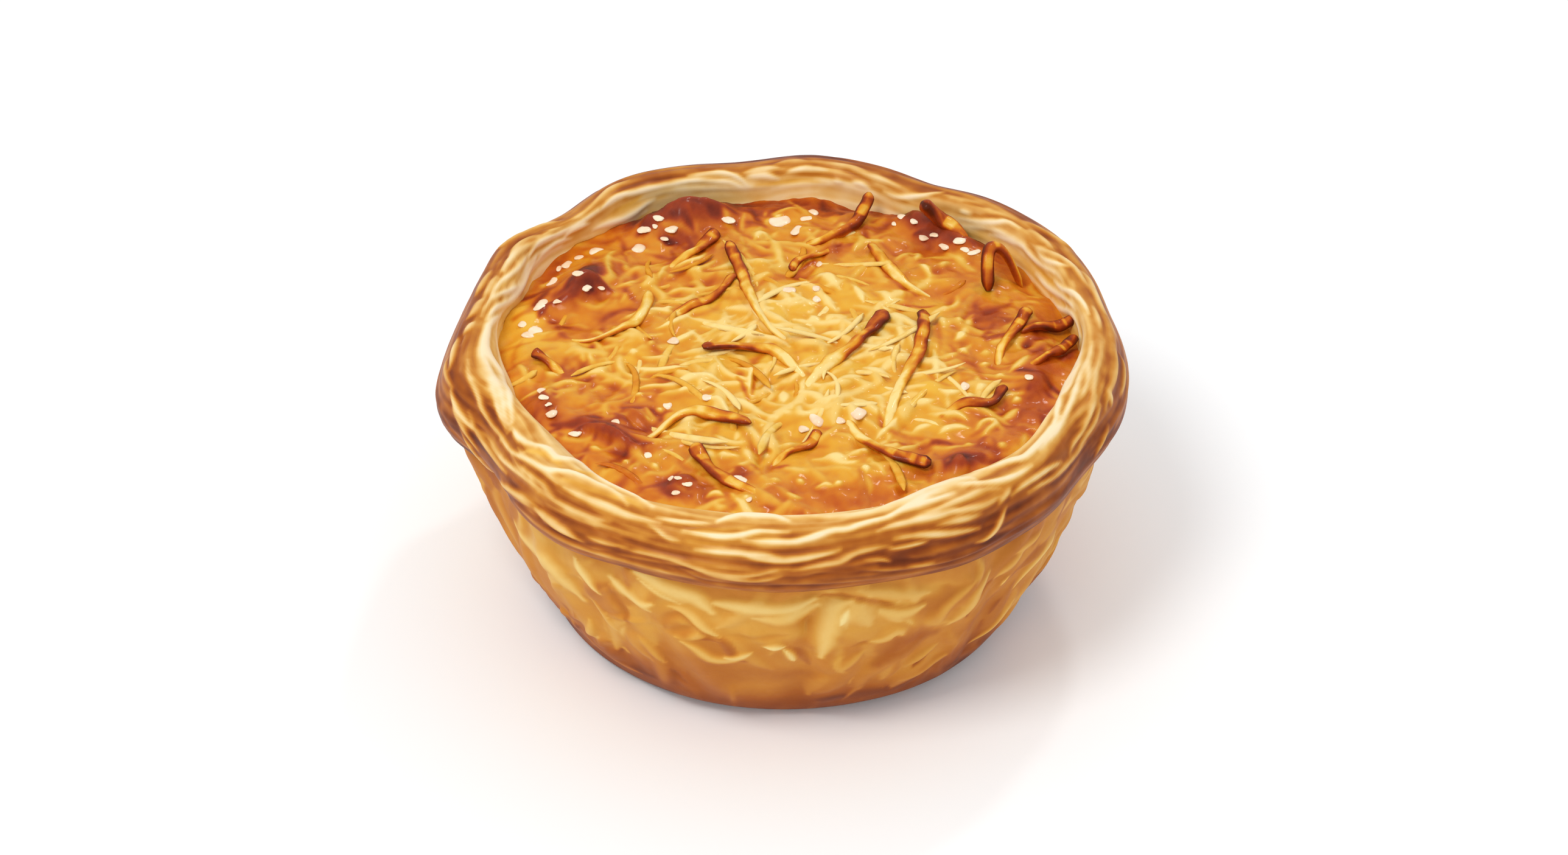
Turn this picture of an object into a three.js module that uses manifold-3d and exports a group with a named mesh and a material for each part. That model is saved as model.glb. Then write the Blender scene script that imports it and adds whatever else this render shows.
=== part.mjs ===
// A coconut tart: a flaky pastry case with a draped rim, and a domed, browned coconut filling.
// Millimetres, +Z up, with the middle of the foot at the origin.
// Azimuths are in degrees: 0 is the right side, 90 the back, 180 the left and 270 the front.
import * as THREE from 'three';
import { mergeVertices } from 'three/addons/utils/BufferGeometryUtils.js';
import Module from 'manifold-3d';

const wasm = await Module();
wasm.setup();

// Driving dimensions of the pastry case
const RIM_RADIUS = 40.6;
const HEIGHT = 34.6;
const FOOT_RADIUS = 24.8;
const HEEL_RADIUS = 28.9;
const HEEL_HEIGHT = 2.4;
const HEEL_ROUNDING = { radius: 27.9, height: 0.1 };
const WALL_SWELL = { radius: 35, height: 13.2 };
const HEM_RADIUS = 38.5;
const HEM_HEIGHT = 25.2;
const RIM_SIDE_HEIGHT = 28.8;
const RIM_SHOULDER = { radius: 38.6, height: 33.8 };
const CREST_RADIUS = 36;
const LIP_EDGE = { radius: 34.6, height: 33.4 };
const MOUTH_RADIUS = 33.8;
const MOUTH_HEIGHT = 30;
const FLOOR_THICKNESS = 3;
const FLOOR_RADIUS = 24.6;
const INSIDE_HEEL = 2.7;
const INSIDE_WAIST = 17;
const LIP_STARTS = 0.62;
const LIP_ENDS = 0.95;
const HEM_LIFT = { azimuth: 270, width: 50 };
const PASTRY_SEGMENTS = 100;

// Driving dimensions of the filling
const FILLING_GAP = 0.62;
const FILLING_EDGE_HEIGHT = 30.3;
const DOME_RISE = 1.3;
const EDGE_ROLL = 0.7;
const FILLING_SEGMENTS = 72;
const TOP_RINGS = 15;

// Lobes of the rim: azimuth, width in degrees, millimetres out, millimetres up
const RIM_LOBES = [
  [12, 7, -0.5, 0],
  [32, 9, 0.2, 0.2],
  [62, 9, -1, -0.3],
  [85, 8, 0.2, 0.3],
  [98, 9, -0.4, -0.3],
  [120, 8, 0.2, 0.3],
  [136, 8, -1.3, -0.1],
  [150, 5, 0.4, 0],
  [168, 13, -1, 0],
  [188, 6, 0.6, 0],
  [194, 5, 0.5, 0],
  [207, 12, -2.1, 0],
  [232, 9, 0.4, 0.2],
  [300, 10, 0.4, 0.2],
  [332, 10, -1.1, 0],
];

// Inward bulges of the inner lip: azimuth, width in degrees, millimetres in
const LIP_BULGES = [
  [8, 12, -1.2], [58, 8, 0.5], [112, 10, -0.4], [139, 9, -1.9], [169, 8, -1.1], [190, 9, 2.4],
  [206, 6, -0.8], [222, 12, 2.2], [246, 9, -1.6], [303, 11, 3.2], [326, 8, -1], [348, 8, 1.2],
];

// Soft folds of the wall: azimuth at the hem, azimuth at the heel, width in degrees, millimetres out
const WALL_FOLDS = [
  [276, 272, 3, -0.7],
  [282, 278, 4, 0.5],
  [244, 262, 4, 0.6],
  [238, 254, 3, -0.5],
  [216, 230, 4, 0.6],
  [224, 238, 3, -0.4],
  [304, 308, 4, 0.5],
  [311, 314, 3, -0.5],
  [330, 322, 5, 0.5],
  [354, 340, 5, 0.5],
  [8, 14, 4, -0.5],
  [24, 36, 5, 0.6],
  [60, 52, 4, -0.6],
  [86, 96, 5, 0.5],
  [118, 110, 4, -0.6],
  [140, 152, 5, 0.5],
  [172, 166, 4, -0.5],
  [192, 200, 5, 0.5],
];
// Broad swellings of the wall: azimuth, width in degrees, millimetres out
const WALL_BELLIES = [[205, 22, -0.3], [252, 16, 0.9], [298, 26, 1.1], [338, 14, -0.1]];

// Pastry layers that show as ribbons round the rim
const RIBBONS = 6;
const RIBBON_DEPTH = 0.45;
// Times round the turn, phase, share of a ribbon's width
const RIBBON_WOBBLES = [[3, 1, 0.2], [5, 2.1, 0.12], [9, 0.4, 0.05]];

// Blisters and ridges of the filling: x, y, half length, half width, heading in degrees, height
const BLISTERS = [
  [-12.4, 28.2, 6.2, 2.6, 18, 2.6],
  [-24, 13.6, 4.6, 2.6, 50, 2.3],
  [19.4, 24.8, 6.4, 2.2, -38, 1.7],
  [-28, -10.2, 3, 1.8, 75, 1.1],
  [-19.8, -16, 5, 1.5, -30, 1.4],
  [-17, -12.2, 2, 1.6, 0, 0.9],
  [-11.3, -26, 2.4, 1.8, 60, 0.9],
  [20, -21.2, 2.4, 1.7, 20, 0.8],
  [28.8, -6, 2.2, 1.5, 70, 0.8],
];

// Gentle waves of the filling's ground: turn per mm in x and in y, phase, height
const GROUND_WAVES = [
  [0.42, 0.16, 1.2, 0.2],
  [-0.2, 0.51, 2.7, 0.18],
  [0.63, -0.58, 0.5, 0.12],
  [0.9, 0.75, 4, 0.1],
];

// Large toasted shreds. Each runs from its dry tip to its other end, bowed to the left of that line.
// Tip x, tip y, end x, end y, bow, wiggle, width, lift of the tip, rise of the middle
const LARGE_SHREDS = [
  [10.3, 30.4, 2.3, 22, 1.7, 0, 1.5, 3.1, 0.3],
  [16.8, 25.5, 21.6, 22.6, 0.6, 0, 1.8, 2.8, 0.3],
  [24.3, 12.9, 28.2, 15.6, 2.8, 0, 1.5, 0, 3.5],
  [12, 6.8, 2.3, -8, 0.1, 0.3, 1.9, 0.6, 0.3],
  [16.5, 7.4, 11.7, -15.8, 0.5, 0.5, 1.7, 0.6, 0.3],
  [28.9, 8, 25.1, -1.9, -0.5, 0.3, 1.5, 0.6, 0.3],
  [33.1, 6.4, 29.2, 4.9, 0.3, 0, 1.6, 0.7, 0.2],
  [32.9, 2.6, 29.6, -0.6, 0.8, 0, 1.7, 0.5, 0.2],
  [10.4, 22, 17.9, 11.8, -1.5, 0.4, 1.6, 0.3, 0.2],
  [0.9, 16.9, 6, 22, 0.4, 0.5, 1.1, 0.2, 0.2],
  [-3.9, -15.8, -15.9, -18.2, -3.9, 0.3, 1.6, 0.4, 0.4],
  [-10.3, -19.4, -2.6, -27.6, -1.3, 0, 1.8, 0.6, 0.3],
  [4, -16.4, -1.3, -21.7, 0.3, 0.4, 1.3, 0.2, 0.2],
  [16.8, -22.3, 7.2, -14, 1.8, 0, 1.8, 0.6, 0.3],
  [25.5, -7.4, 18.4, -12.8, 0.5, 0.7, 1.6, 0.5, 0.2],
  [-9.5, -0.9, 2.6, -6.2, 3, 0.3, 1.7, 0.6, 0.4],
  [-6.6, 21, 0.9, 1.2, -1.4, 0.5, 1.5, 0.7, 0.3],
  [-6, 15, -14.2, 4.3, 0.1, 0.6, 1.3, 0.3, 0.2],
  [-8.1, 24.4, -13.7, 17.5, 0.5, 0, 1.6, 0.5, 0.3],
  [-29.4, -1, -25.8, -4.3, 0.4, 0, 1.5, 0.7, 0.2],
  [-16.1, 11.8, -26.3, 3, 4.2, 0, 1.3, 0.3, 0.3],
];
const SHRED_FLATNESS = 0.62;
const SHRED_TAPER = 0.42;
const SHRED_DIVE = 0.5;
const SHRED_RAISE = -0.1;
const SHRED_STEPS = 5;

// Small pale shreds, half sunk in the filling
const SMALL_SHREDS = 9;
const SMALL_SHRED_LENGTHS = [4, 8];
const SMALL_SHRED_WIDTH = 1.1;
const SMALL_SHRED_RISE = 0.1;
const SMALL_SHRED_STEPS = 2;
const SMALL_SHRED_REACH = 25;
const GOLDEN_ANGLE = Math.PI * (3 - Math.sqrt(5));

const DEGREE = Math.PI / 180;

function smooth(from, to, value) {
  return THREE.MathUtils.smoothstep(value, from, to);
}

// A bell curve of one lobe or fold, wrapped round the turn
function bell(azimuth, centre, width) {
  const turn = THREE.MathUtils.euclideanModulo(azimuth - centre + 180, 360) - 180;
  return Math.exp(-((turn / width) ** 2));
}

function lobeSum(rows, azimuth, column) {
  return rows.reduce((sum, row) => sum + row[column] * bell(azimuth, row[0], row[1]), 0);
}

function wallFolds(azimuth, height) {
  const up = THREE.MathUtils.clamp(height / HEM_HEIGHT, 0, 1);
  const underHem = 1 - smooth(HEM_HEIGHT - 2, HEM_HEIGHT + 1, height);
  const fade = smooth(HEEL_HEIGHT, 3 * HEEL_HEIGHT, height) * underHem;
  const folds = WALL_FOLDS.reduce((sum, [hem, heel, width, out]) => {
    const centre = heel + (hem - heel) * up;
    return sum + out * bell(azimuth, centre, width);
  }, 0);
  const belly = lobeSum(WALL_BELLIES, azimuth, 2) * smooth(0.2, 2.5, height);
  return folds * fade + belly * (1 - smooth(HEM_HEIGHT - 8, HEM_HEIGHT, height));
}

// Relief of the layers round the rim: a sawtooth-like ribbon, with one ribbon's drift in a turn
function ribbon(azimuth, share) {
  const turn = azimuth * DEGREE;
  const wobble = RIBBON_WOBBLES.reduce((sum, [count, shift, size]) => {
    return sum + size * Math.sin(count * turn + shift);
  }, 0);
  const phase = 2 * Math.PI * (RIBBONS * share + wobble) + turn;
  const wave = Math.sin(phase) + 0.35 * Math.sin(2 * phase);
  return RIBBON_DEPTH * wave * smooth(0, 0.1, share) * (1 - smooth(0.85, 1, share));
}

// How far the rim's lobes push the case outward; they fade out down the wall
function lobeShift(azimuth, height) {
  return lobeSum(RIM_LOBES, azimuth, 2) * smooth(10, HEM_HEIGHT + 1.8, height);
}

// How far the case's inside moves outward at an azimuth and a height
function mouthShift(azimuth, height) {
  const inward = lobeSum(LIP_BULGES, azimuth, 2) * smooth(INSIDE_WAIST, MOUTH_HEIGHT, height);
  return lobeShift(azimuth, height) - inward;
}

// The half outline of the case, from the middle of the foot round to the middle of the floor.
// Each point carries which surface it is on and how far along that surface it lies.
function caseOutline() {
  const v = (radius, height) => new THREE.Vector2(radius, height);
  const heel = v(HEEL_RADIUS, HEEL_HEIGHT);
  const heelRounding = v(HEEL_ROUNDING.radius, HEEL_ROUNDING.height);
  const wallSwell = v(WALL_SWELL.radius, WALL_SWELL.height);
  const hem = v(HEM_RADIUS, HEM_HEIGHT);
  const mouth = v(MOUTH_RADIUS, MOUTH_HEIGHT);
  const shelf = v(FLOOR_RADIUS + INSIDE_HEEL, FLOOR_THICKNESS + INSIDE_HEEL);
  const floorEdge = v(FLOOR_RADIUS, FLOOR_THICKNESS);
  const stretches = [
    ['foot', new THREE.LineCurve(v(0, 0), v(FOOT_RADIUS, 0)), 1],
    ['wall', new THREE.QuadraticBezierCurve(v(FOOT_RADIUS, 0), heelRounding, heel), 2],
    ['wall', new THREE.QuadraticBezierCurve(heel, wallSwell, hem), 7],
    ['rim', new THREE.SplineCurve([
      hem,
      v(HEM_RADIUS + 1.1, HEM_HEIGHT + 1.3),
      v(RIM_RADIUS, RIM_SIDE_HEIGHT),
      v(RIM_RADIUS - 0.5, RIM_SIDE_HEIGHT + 2.3),
      v(RIM_SHOULDER.radius, RIM_SHOULDER.height),
      v(CREST_RADIUS, HEIGHT),
      v(LIP_EDGE.radius, LIP_EDGE.height),
      mouth,
    ]), 20],
    ['inside', new THREE.QuadraticBezierCurve(mouth, v(MOUTH_RADIUS - 1.2, INSIDE_WAIST), shelf), 4],
    ['inside', new THREE.QuadraticBezierCurve(shelf, v(FLOOR_RADIUS + 1.6, FLOOR_THICKNESS), floorEdge), 1],
    ['floor', new THREE.LineCurve(floorEdge, v(0, FLOOR_THICKNESS)), 1],
  ];
  const outline = [{ at: v(0, 0), out: v(0, 0), part: 'foot', share: 0 }];
  for (const [part, curve, steps] of stretches) {
    for (let step = 1; step <= steps; step += 1) {
      const share = step / steps;
      const along = curve.getTangentAt(share);
      outline.push({ at: curve.getPointAt(share), out: v(along.y, -along.x), part, share });
    }
  }
  return outline;
}

// Lift of the hem at the front, where the rim sags less
function hemLift(azimuth, height) {
  const rise = smooth(HEM_HEIGHT - 5.2, HEM_HEIGHT, height);
  const fade = rise * (1 - smooth(HEM_HEIGHT + 1, MOUTH_HEIGHT, height));
  return bell(azimuth, HEM_LIFT.azimuth, HEM_LIFT.width) * fade;
}

function placeOnCase(station, azimuth) {
  let { x: radius, y: height } = station.at;
  if (station.part === 'wall') {
    radius += lobeShift(azimuth, height) + wallFolds(azimuth, height);
    height += hemLift(azimuth, height);
  }
  if (station.part === 'rim') {
    const relief = ribbon(azimuth, station.share);
    const inward = lobeSum(LIP_BULGES, azimuth, 2) * smooth(LIP_STARTS, LIP_ENDS, station.share);
    radius += lobeShift(azimuth, height) - inward;
    height += hemLift(azimuth, height) + lobeSum(RIM_LOBES, azimuth, 3) * smooth(24, 34, height);
    radius += relief * station.out.x;
    height += relief * station.out.y;
  }
  if (station.part === 'inside') {
    radius += mouthShift(azimuth, height);
  }
  return [radius, height];
}

// Turns a half outline round the Z axis, and puts each vertex where the placing function says
function turned(stations, segments, place) {
  const geometry = new THREE.LatheGeometry(stations.map((station) => station.at), segments);
  const position = geometry.getAttribute('position');
  for (let segment = 0; segment <= segments; segment += 1) {
    const azimuth = (segment % segments) * 360 / segments;
    stations.forEach((station, index) => {
      const [radius, height] = place(station, azimuth);
      const x = radius * Math.cos(azimuth * DEGREE);
      const y = radius * Math.sin(azimuth * DEGREE);
      position.setXYZ(segment * stations.length + index, x, y, height);
    });
  }
  return welded(geometry);
}

// Merges vertices at one place, and drops the triangles that this closes at the axis
function welded(geometry) {
  geometry.deleteAttribute('normal');
  geometry.deleteAttribute('uv');
  const merged = mergeVertices(geometry, 1e-4);
  const corners = merged.getIndex().array;
  const kept = [];
  for (let i = 0; i < corners.length; i += 3) {
    const [a, b, c] = corners.slice(i, i + 3);
    if (a !== b && b !== c && c !== a) {
      kept.push(a, b, c);
    }
  }
  merged.setIndex(kept);
  return merged;
}

function flipped(geometry) {
  const corners = geometry.getIndex().array;
  const turnedOver = [];
  for (let i = 0; i < corners.length; i += 3) {
    turnedOver.push(corners[i], corners[i + 2], corners[i + 1]);
  }
  geometry.setIndex(turnedOver);
  return geometry;
}

// Height of the filling's bare top at a point
function fillingTop(x, y) {
  const radius = Math.hypot(x, y);
  const reach = radius / MOUTH_RADIUS;
  const dome = DOME_RISE * (1 - reach * reach) - EDGE_ROLL * smooth(0.9, 1, reach);
  const waves = GROUND_WAVES.reduce((sum, [turnX, turnY, phase, size]) => {
    return sum + size * Math.sin(turnX * x + turnY * y + phase);
  }, 0);
  const blisters = BLISTERS.reduce((sum, [bx, by, length, width, heading, height]) => {
    const cos = Math.cos(heading * DEGREE);
    const sin = Math.sin(heading * DEGREE);
    const along = ((x - bx) * cos + (y - by) * sin) / length;
    const across = ((y - by) * cos - (x - bx) * sin) / width;
    return sum + height * Math.exp(-(along * along + across * across));
  }, 0);
  return FILLING_EDGE_HEIGHT + EDGE_ROLL + dome + waves + blisters;
}

function fillingOutline() {
  const stations = [];
  const add = (part, radius, height) => stations.push({ part, at: new THREE.Vector2(radius, height) });
  const inner = caseOutline().filter((station) => station.part === 'inside').reverse();
  add('base', 0, FLOOR_THICKNESS + FILLING_GAP);
  for (const { at } of inner) {
    const lift = FILLING_GAP * (1 - smooth(FLOOR_THICKNESS, 9, at.y));
    add('side', at.x - FILLING_GAP, at.y + lift);
  }
  for (let ring = 0; ring <= TOP_RINGS; ring += 1) {
    const radius = (MOUTH_RADIUS - FILLING_GAP) * (1 - ring / TOP_RINGS);
    add('top', radius, FILLING_EDGE_HEIGHT);
  }
  return stations;
}

function placeOnFilling(station, azimuth) {
  const { x, y } = station.at;
  if (station.part === 'side') {
    return [x + mouthShift(azimuth, y), y];
  }
  if (station.part === 'top') {
    const radius = x + mouthShift(azimuth, MOUTH_HEIGHT) * (x / MOUTH_RADIUS) ** 3;
    const height = fillingTop(radius * Math.cos(azimuth * DEGREE), radius * Math.sin(azimuth * DEGREE));
    return [radius, height];
  }
  return [x, y];
}

// A tapered strip of coconut that follows a bowed path over the filling
function shred([tipX, tipY, endX, endY, bow, wiggle, width, lift, rise], steps) {
  const length = Math.hypot(endX - tipX, endY - tipY);
  const ahead = [(endX - tipX) / length, (endY - tipY) / length];
  const half = width / 2;
  const thick = half * SHRED_FLATNESS;
  const section = new THREE.Shape([
    new THREE.Vector2(-half, 0),
    new THREE.Vector2(-half / 2, -thick),
    new THREE.Vector2(half / 2, -thick),
    new THREE.Vector2(half, 0),
    new THREE.Vector2(half / 2, thick),
    new THREE.Vector2(-half / 2, thick),
  ]);
  const strip = new THREE.ExtrudeGeometry(section, { depth: length, steps, bevelEnabled: false });
  const position = strip.getAttribute('position');
  for (let i = 0; i < position.count; i += 1) {
    const share = position.getZ(i) / length;
    const taper = 1 - SHRED_TAPER * smooth(0.4, 1, share);
    const sway = bow * 4 * share * (1 - share) + wiggle * Math.sin(2 * Math.PI * share);
    const side = position.getX(i) * taper + sway;
    const x = tipX + ahead[0] * share * length - ahead[1] * side;
    const y = tipY + ahead[1] * share * length + ahead[0] * side;
    const middleX = tipX + ahead[0] * share * length - ahead[1] * sway;
    const middleY = tipY + ahead[1] * share * length + ahead[0] * sway;
    const arch = rise * (1 - Math.abs(2 * share - 1) ** 3) - SHRED_DIVE * smooth(0.85, 1, share);
    const stand = SHRED_RAISE + lift * Math.max(0, 1 - share / 0.45) ** 2 + arch;
    position.setXYZ(i, x, y, fillingTop(middleX, middleY) + stand + position.getY(i) * taper);
  }
  return welded(strip);
}

function smallShredRow(index) {
  const [shortest, longest] = SMALL_SHRED_LENGTHS;
  const radius = SMALL_SHRED_REACH * Math.sqrt((index + 0.5) / SMALL_SHREDS);
  const azimuth = index * GOLDEN_ANGLE;
  const heading = index * 2.4 + Math.sin(index * 5.1);
  const length = shortest + (longest - shortest) * (0.5 + 0.5 * Math.sin(index * 3.7));
  const x = radius * Math.cos(azimuth) - length / 2 * Math.cos(heading);
  const y = radius * Math.sin(azimuth) - length / 2 * Math.sin(heading);
  const endX = x + length * Math.cos(heading);
  const endY = y + length * Math.sin(heading);
  const bow = 0.8 * Math.sin(index * 1.9);
  return [x, y, endX, endY, bow, 0, SMALL_SHRED_WIDTH, 0, SMALL_SHRED_RISE];
}

function solid(geometry) {
  const vertProperties = new Float32Array(geometry.getAttribute('position').array);
  const triVerts = new Uint32Array(geometry.getIndex().array);
  return new wasm.Manifold(new wasm.Mesh({ numProp: 3, vertProperties, triVerts }));
}

function geometryOf(manifold) {
  const mesh = manifold.getMesh();
  const geometry = new THREE.BufferGeometry();
  geometry.setAttribute('position', new THREE.BufferAttribute(new Float32Array(mesh.vertProperties), 3));
  geometry.setIndex(new THREE.BufferAttribute(new Uint32Array(mesh.triVerts), 1));
  return geometry;
}

function pastryCase() {
  const geometry = turned(caseOutline(), PASTRY_SEGMENTS, placeOnCase);
  const material = new THREE.MeshStandardMaterial({ color: 0xdca556, roughness: 0.6, metalness: 0 });
  const mesh = new THREE.Mesh(geometry, material);
  mesh.name = 'pastry_case';
  return mesh;
}

function coconutFilling() {
  let body = solid(turned(fillingOutline(), FILLING_SEGMENTS, placeOnFilling));
  for (const row of LARGE_SHREDS) {
    body = body.add(solid(shred(row, SHRED_STEPS)));
  }
  for (let index = 0; index < SMALL_SHREDS; index += 1) {
    body = body.add(solid(shred(smallShredRow(index), SMALL_SHRED_STEPS)));
  }
  const material = new THREE.MeshStandardMaterial({ color: 0xe8a53c, roughness: 0.35, metalness: 0 });
  const mesh = new THREE.Mesh(geometryOf(body), material);
  mesh.name = 'coconut_filling';
  return mesh;
}

const group = new THREE.Group();
group.add(pastryCase(), coconutFilling());

export default group;
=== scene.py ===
"""Dresses the coconut tart: flaky pastry case, browned filling and toasted shreds."""
import math

import bpy
import numpy as np
from mathutils.kdtree import KDTree
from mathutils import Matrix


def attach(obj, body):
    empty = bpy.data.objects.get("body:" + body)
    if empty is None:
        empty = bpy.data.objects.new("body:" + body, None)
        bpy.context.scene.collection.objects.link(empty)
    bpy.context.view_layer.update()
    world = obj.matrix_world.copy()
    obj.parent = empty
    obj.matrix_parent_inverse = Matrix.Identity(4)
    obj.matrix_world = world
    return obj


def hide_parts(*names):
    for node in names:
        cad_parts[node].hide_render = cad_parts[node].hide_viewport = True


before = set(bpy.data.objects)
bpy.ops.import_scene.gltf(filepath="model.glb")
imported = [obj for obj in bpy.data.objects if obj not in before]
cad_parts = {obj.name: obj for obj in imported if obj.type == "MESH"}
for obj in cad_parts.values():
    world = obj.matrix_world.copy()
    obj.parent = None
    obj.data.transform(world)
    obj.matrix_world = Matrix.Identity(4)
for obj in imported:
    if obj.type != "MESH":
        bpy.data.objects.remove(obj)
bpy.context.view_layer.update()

MM = 0.001
TURN = 2 * math.pi
NOISE_CELLS = 256

# Sizes of the pastry case, in millimetres
HEIGHT = 34.6
RIM_RADIUS = 40.6
FOOT_RADIUS = 24.8
HEEL = (28.9, 2.4)
HEM = (38.5, 25.2)
CREST_RADIUS = 36.0
MOUTH = (33.8, 30.0)
FLOOR = (24.6, 3.0)

# Heights between which something sets in or ends: the lobes on the wall, the rim's ups and downs, the inner
# lip's bulges, and the wall's bellies
LOBE_HEIGHTS = (10, 27)
LIFT_HEIGHTS = (26, 34)
LIP_HEIGHTS = (17, MOUTH[1])
BELLY_START = (0.2, 2.5)
BELLY_END = (17.2, HEM[1])
# Shares of the way from the hem to the inside between which the lip sets in and the hem's sag ends
LIP_SHARES = (0.62, 0.9)
SAG_SHARES = (0.18, 0.42)

# Section of the rim, from behind the hem round to the inside: radius, height
RIM_OUTLINE = [
    (37.2, 27.2), (37.6, 25.9), (HEM[0] + 0.6, HEM[1] + 0.35), (HEM[0] + 1.5, HEM[1] + 1.5),
    (RIM_RADIUS, 28.8), (RIM_RADIUS - 0.5, 31.1), (38.6, 33.8), (CREST_RADIUS, HEIGHT), (34.6, 33.4), MOUTH,
    (33.5, 28.4),
]
# Sections of what the rim, the wall and the filling hide: radius, height
RIM_BACK = [(33.4, 26.6), (35.4, 26.4)]
WALL_INSIDE = [(34.6, 26.4), (33.2, 22), (31, 12), (27.4, 5.6), FLOOR]
FILLING_SIDE = [(32.6, 22), (30.4, 12), (26.8, 5.6), (24, 3.6)]
# The wall's side is a curve from the heel to its top, drawn by one point between them
WALL_CONTROL = (35.0, 13.2)
WALL_TOP = (37.9, 26.2)
FOOT_BEND = (27.6, 0.35)

# Lobes of the rim: azimuth, width in degrees, millimetres out, millimetres up
RIM_LOBES = [
    (12, 7, -0.5, 0), (32, 9, 0.2, 0.2), (62, 9, -1, -0.3), (85, 8, 0.2, 0.3), (98, 9, -0.4, -0.3),
    (120, 8, 0.2, 0.3), (136, 8, -1.3, -0.1), (150, 5, 0.4, 0), (168, 13, -1, 0), (188, 6, 0.6, 0),
    (194, 5, 0.5, 0), (207, 12, -2.1, 0), (232, 9, 0.4, 0.2), (300, 10, 0.4, 0.2), (332, 10, -1.1, 0),
]
# Inward bulges of the inner lip: azimuth, width in degrees, millimetres in
LIP_BULGES = [
    (8, 12, -1.2), (58, 8, 0.5), (112, 10, -0.4), (139, 9, -1.9), (169, 8, -1.1), (190, 9, 2.4),
    (206, 6, -0.8), (222, 12, 2.2), (246, 9, -1.6), (303, 11, 3.2), (326, 8, -1), (348, 8, 1.2),
]
# Soft folds of the wall: azimuth at the hem, azimuth at the heel, width in degrees, millimetres out
WALL_FOLDS = [
    (276, 272, 3, -0.7), (282, 278, 4, 0.5), (244, 262, 4, 0.6), (238, 254, 3, -0.5), (216, 230, 4, 0.6),
    (224, 238, 3, -0.4), (304, 308, 4, 0.5), (311, 314, 3, -0.5), (330, 322, 5, 0.5), (354, 340, 5, 0.5),
    (8, 14, 4, -0.5), (24, 36, 5, 0.6), (60, 52, 4, -0.6), (86, 96, 5, 0.5), (118, 110, 4, -0.6),
    (140, 152, 5, 0.5), (172, 166, 4, -0.5), (192, 200, 5, 0.5),
]
# Bellies of the wall: azimuth, width in degrees, millimetres out
WALL_BELLIES = [(205, 22, -0.3), (252, 16, 0.9), (298, 26, 1.1), (338, 14, -0.1)]

# Blisters and ridges of the filling: x, y, half length, half width, heading in degrees, height
BLISTERS = [
    (-12.4, 28.2, 6.2, 2.6, 18, 2.6), (-24, 13.6, 4.6, 2.6, 50, 2.3), (19.4, 24.8, 6.4, 2.2, -38, 1.7),
    (-28, -10.2, 3, 1.8, 75, 1.1), (-19.8, -16, 5, 1.5, -30, 1.4), (-17, -12.2, 2, 1.6, 0, 0.9),
    (-11.3, -26, 2.4, 1.8, 60, 0.9), (20, -21.2, 2.4, 1.7, 20, 0.8), (28.8, -6, 2.2, 1.5, 70, 0.8),
]
# Waves of the filling: radians for each millimetre along x and along y, phase, height
GROUND_WAVES = [
    (0.42, 0.16, 1.2, 0.2), (-0.2, 0.51, 2.7, 0.18), (0.63, -0.58, 0.5, 0.12), (0.9, 0.75, 4, 0.1),
]
FILLING_EDGE_HEIGHT = 30.3
DOME_RISE = 1.3
EDGE_ROLL = 0.7

# Browned places of the filling: x, y, reach along, reach across, heading in degrees, browning
BROWNED = [
    (-12.4, 29.5, 6.8, 2.6, 18, 1), (-24.2, 13.8, 5, 2.4, 50, 0.85), (20, 25.2, 7.5, 2.2, -38, 0.85),
    (-28.4, -10.4, 3.6, 2.2, 75, 0.5), (-20, -16.2, 5.2, 1.3, -30, 0.7), (-16.6, -12, 2.6, 2, 0, 0.4),
    (-17.5, 7, 4.5, 3, 20, 0.25), (-14.6, -3.5, 1.6, 4, 0, 0.25), (23.5, 7, 3.5, 4.5, 0, 0.28),
    (29, -8, 2.5, 6, -20, 0.35), (-12, -26, 3, 2, 0, 0.45), (-5, -24, 1.8, 1.4, 0, 0.45),
    (20, -21.6, 3, 1.8, 20, 0.75), (0, 32, 12, 2, 0, 0.35), (19, 18, 4, 3, -30, 0.1), (0, 24, 22, 7, 0, 0.06),
    (5, -29, 14, 3.5, 0, 0.2), (-10, 21, 4, 3, 30, 0.25), (30.4, 5, 2, 8, 0, 0.3),
    (-31.5, 4, 1.2, 10, 8, 0.04),
]
# Paler places, given in the same way
PALE = [
    (3, 6, 11, 9, 0, 0.2), (8, -10, 13, 6, 10, 0.2), (-6, -6, 9, 5, 0, 0.15), (-31, 8, 2.5, 6, 0, 0.26),
    (0, -31, 12, 2.5, 0, 0.1), (20, -26, 6, 2, 35, 0.2), (-27, 1, 6, 9, 0, 0.1),
]

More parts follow.
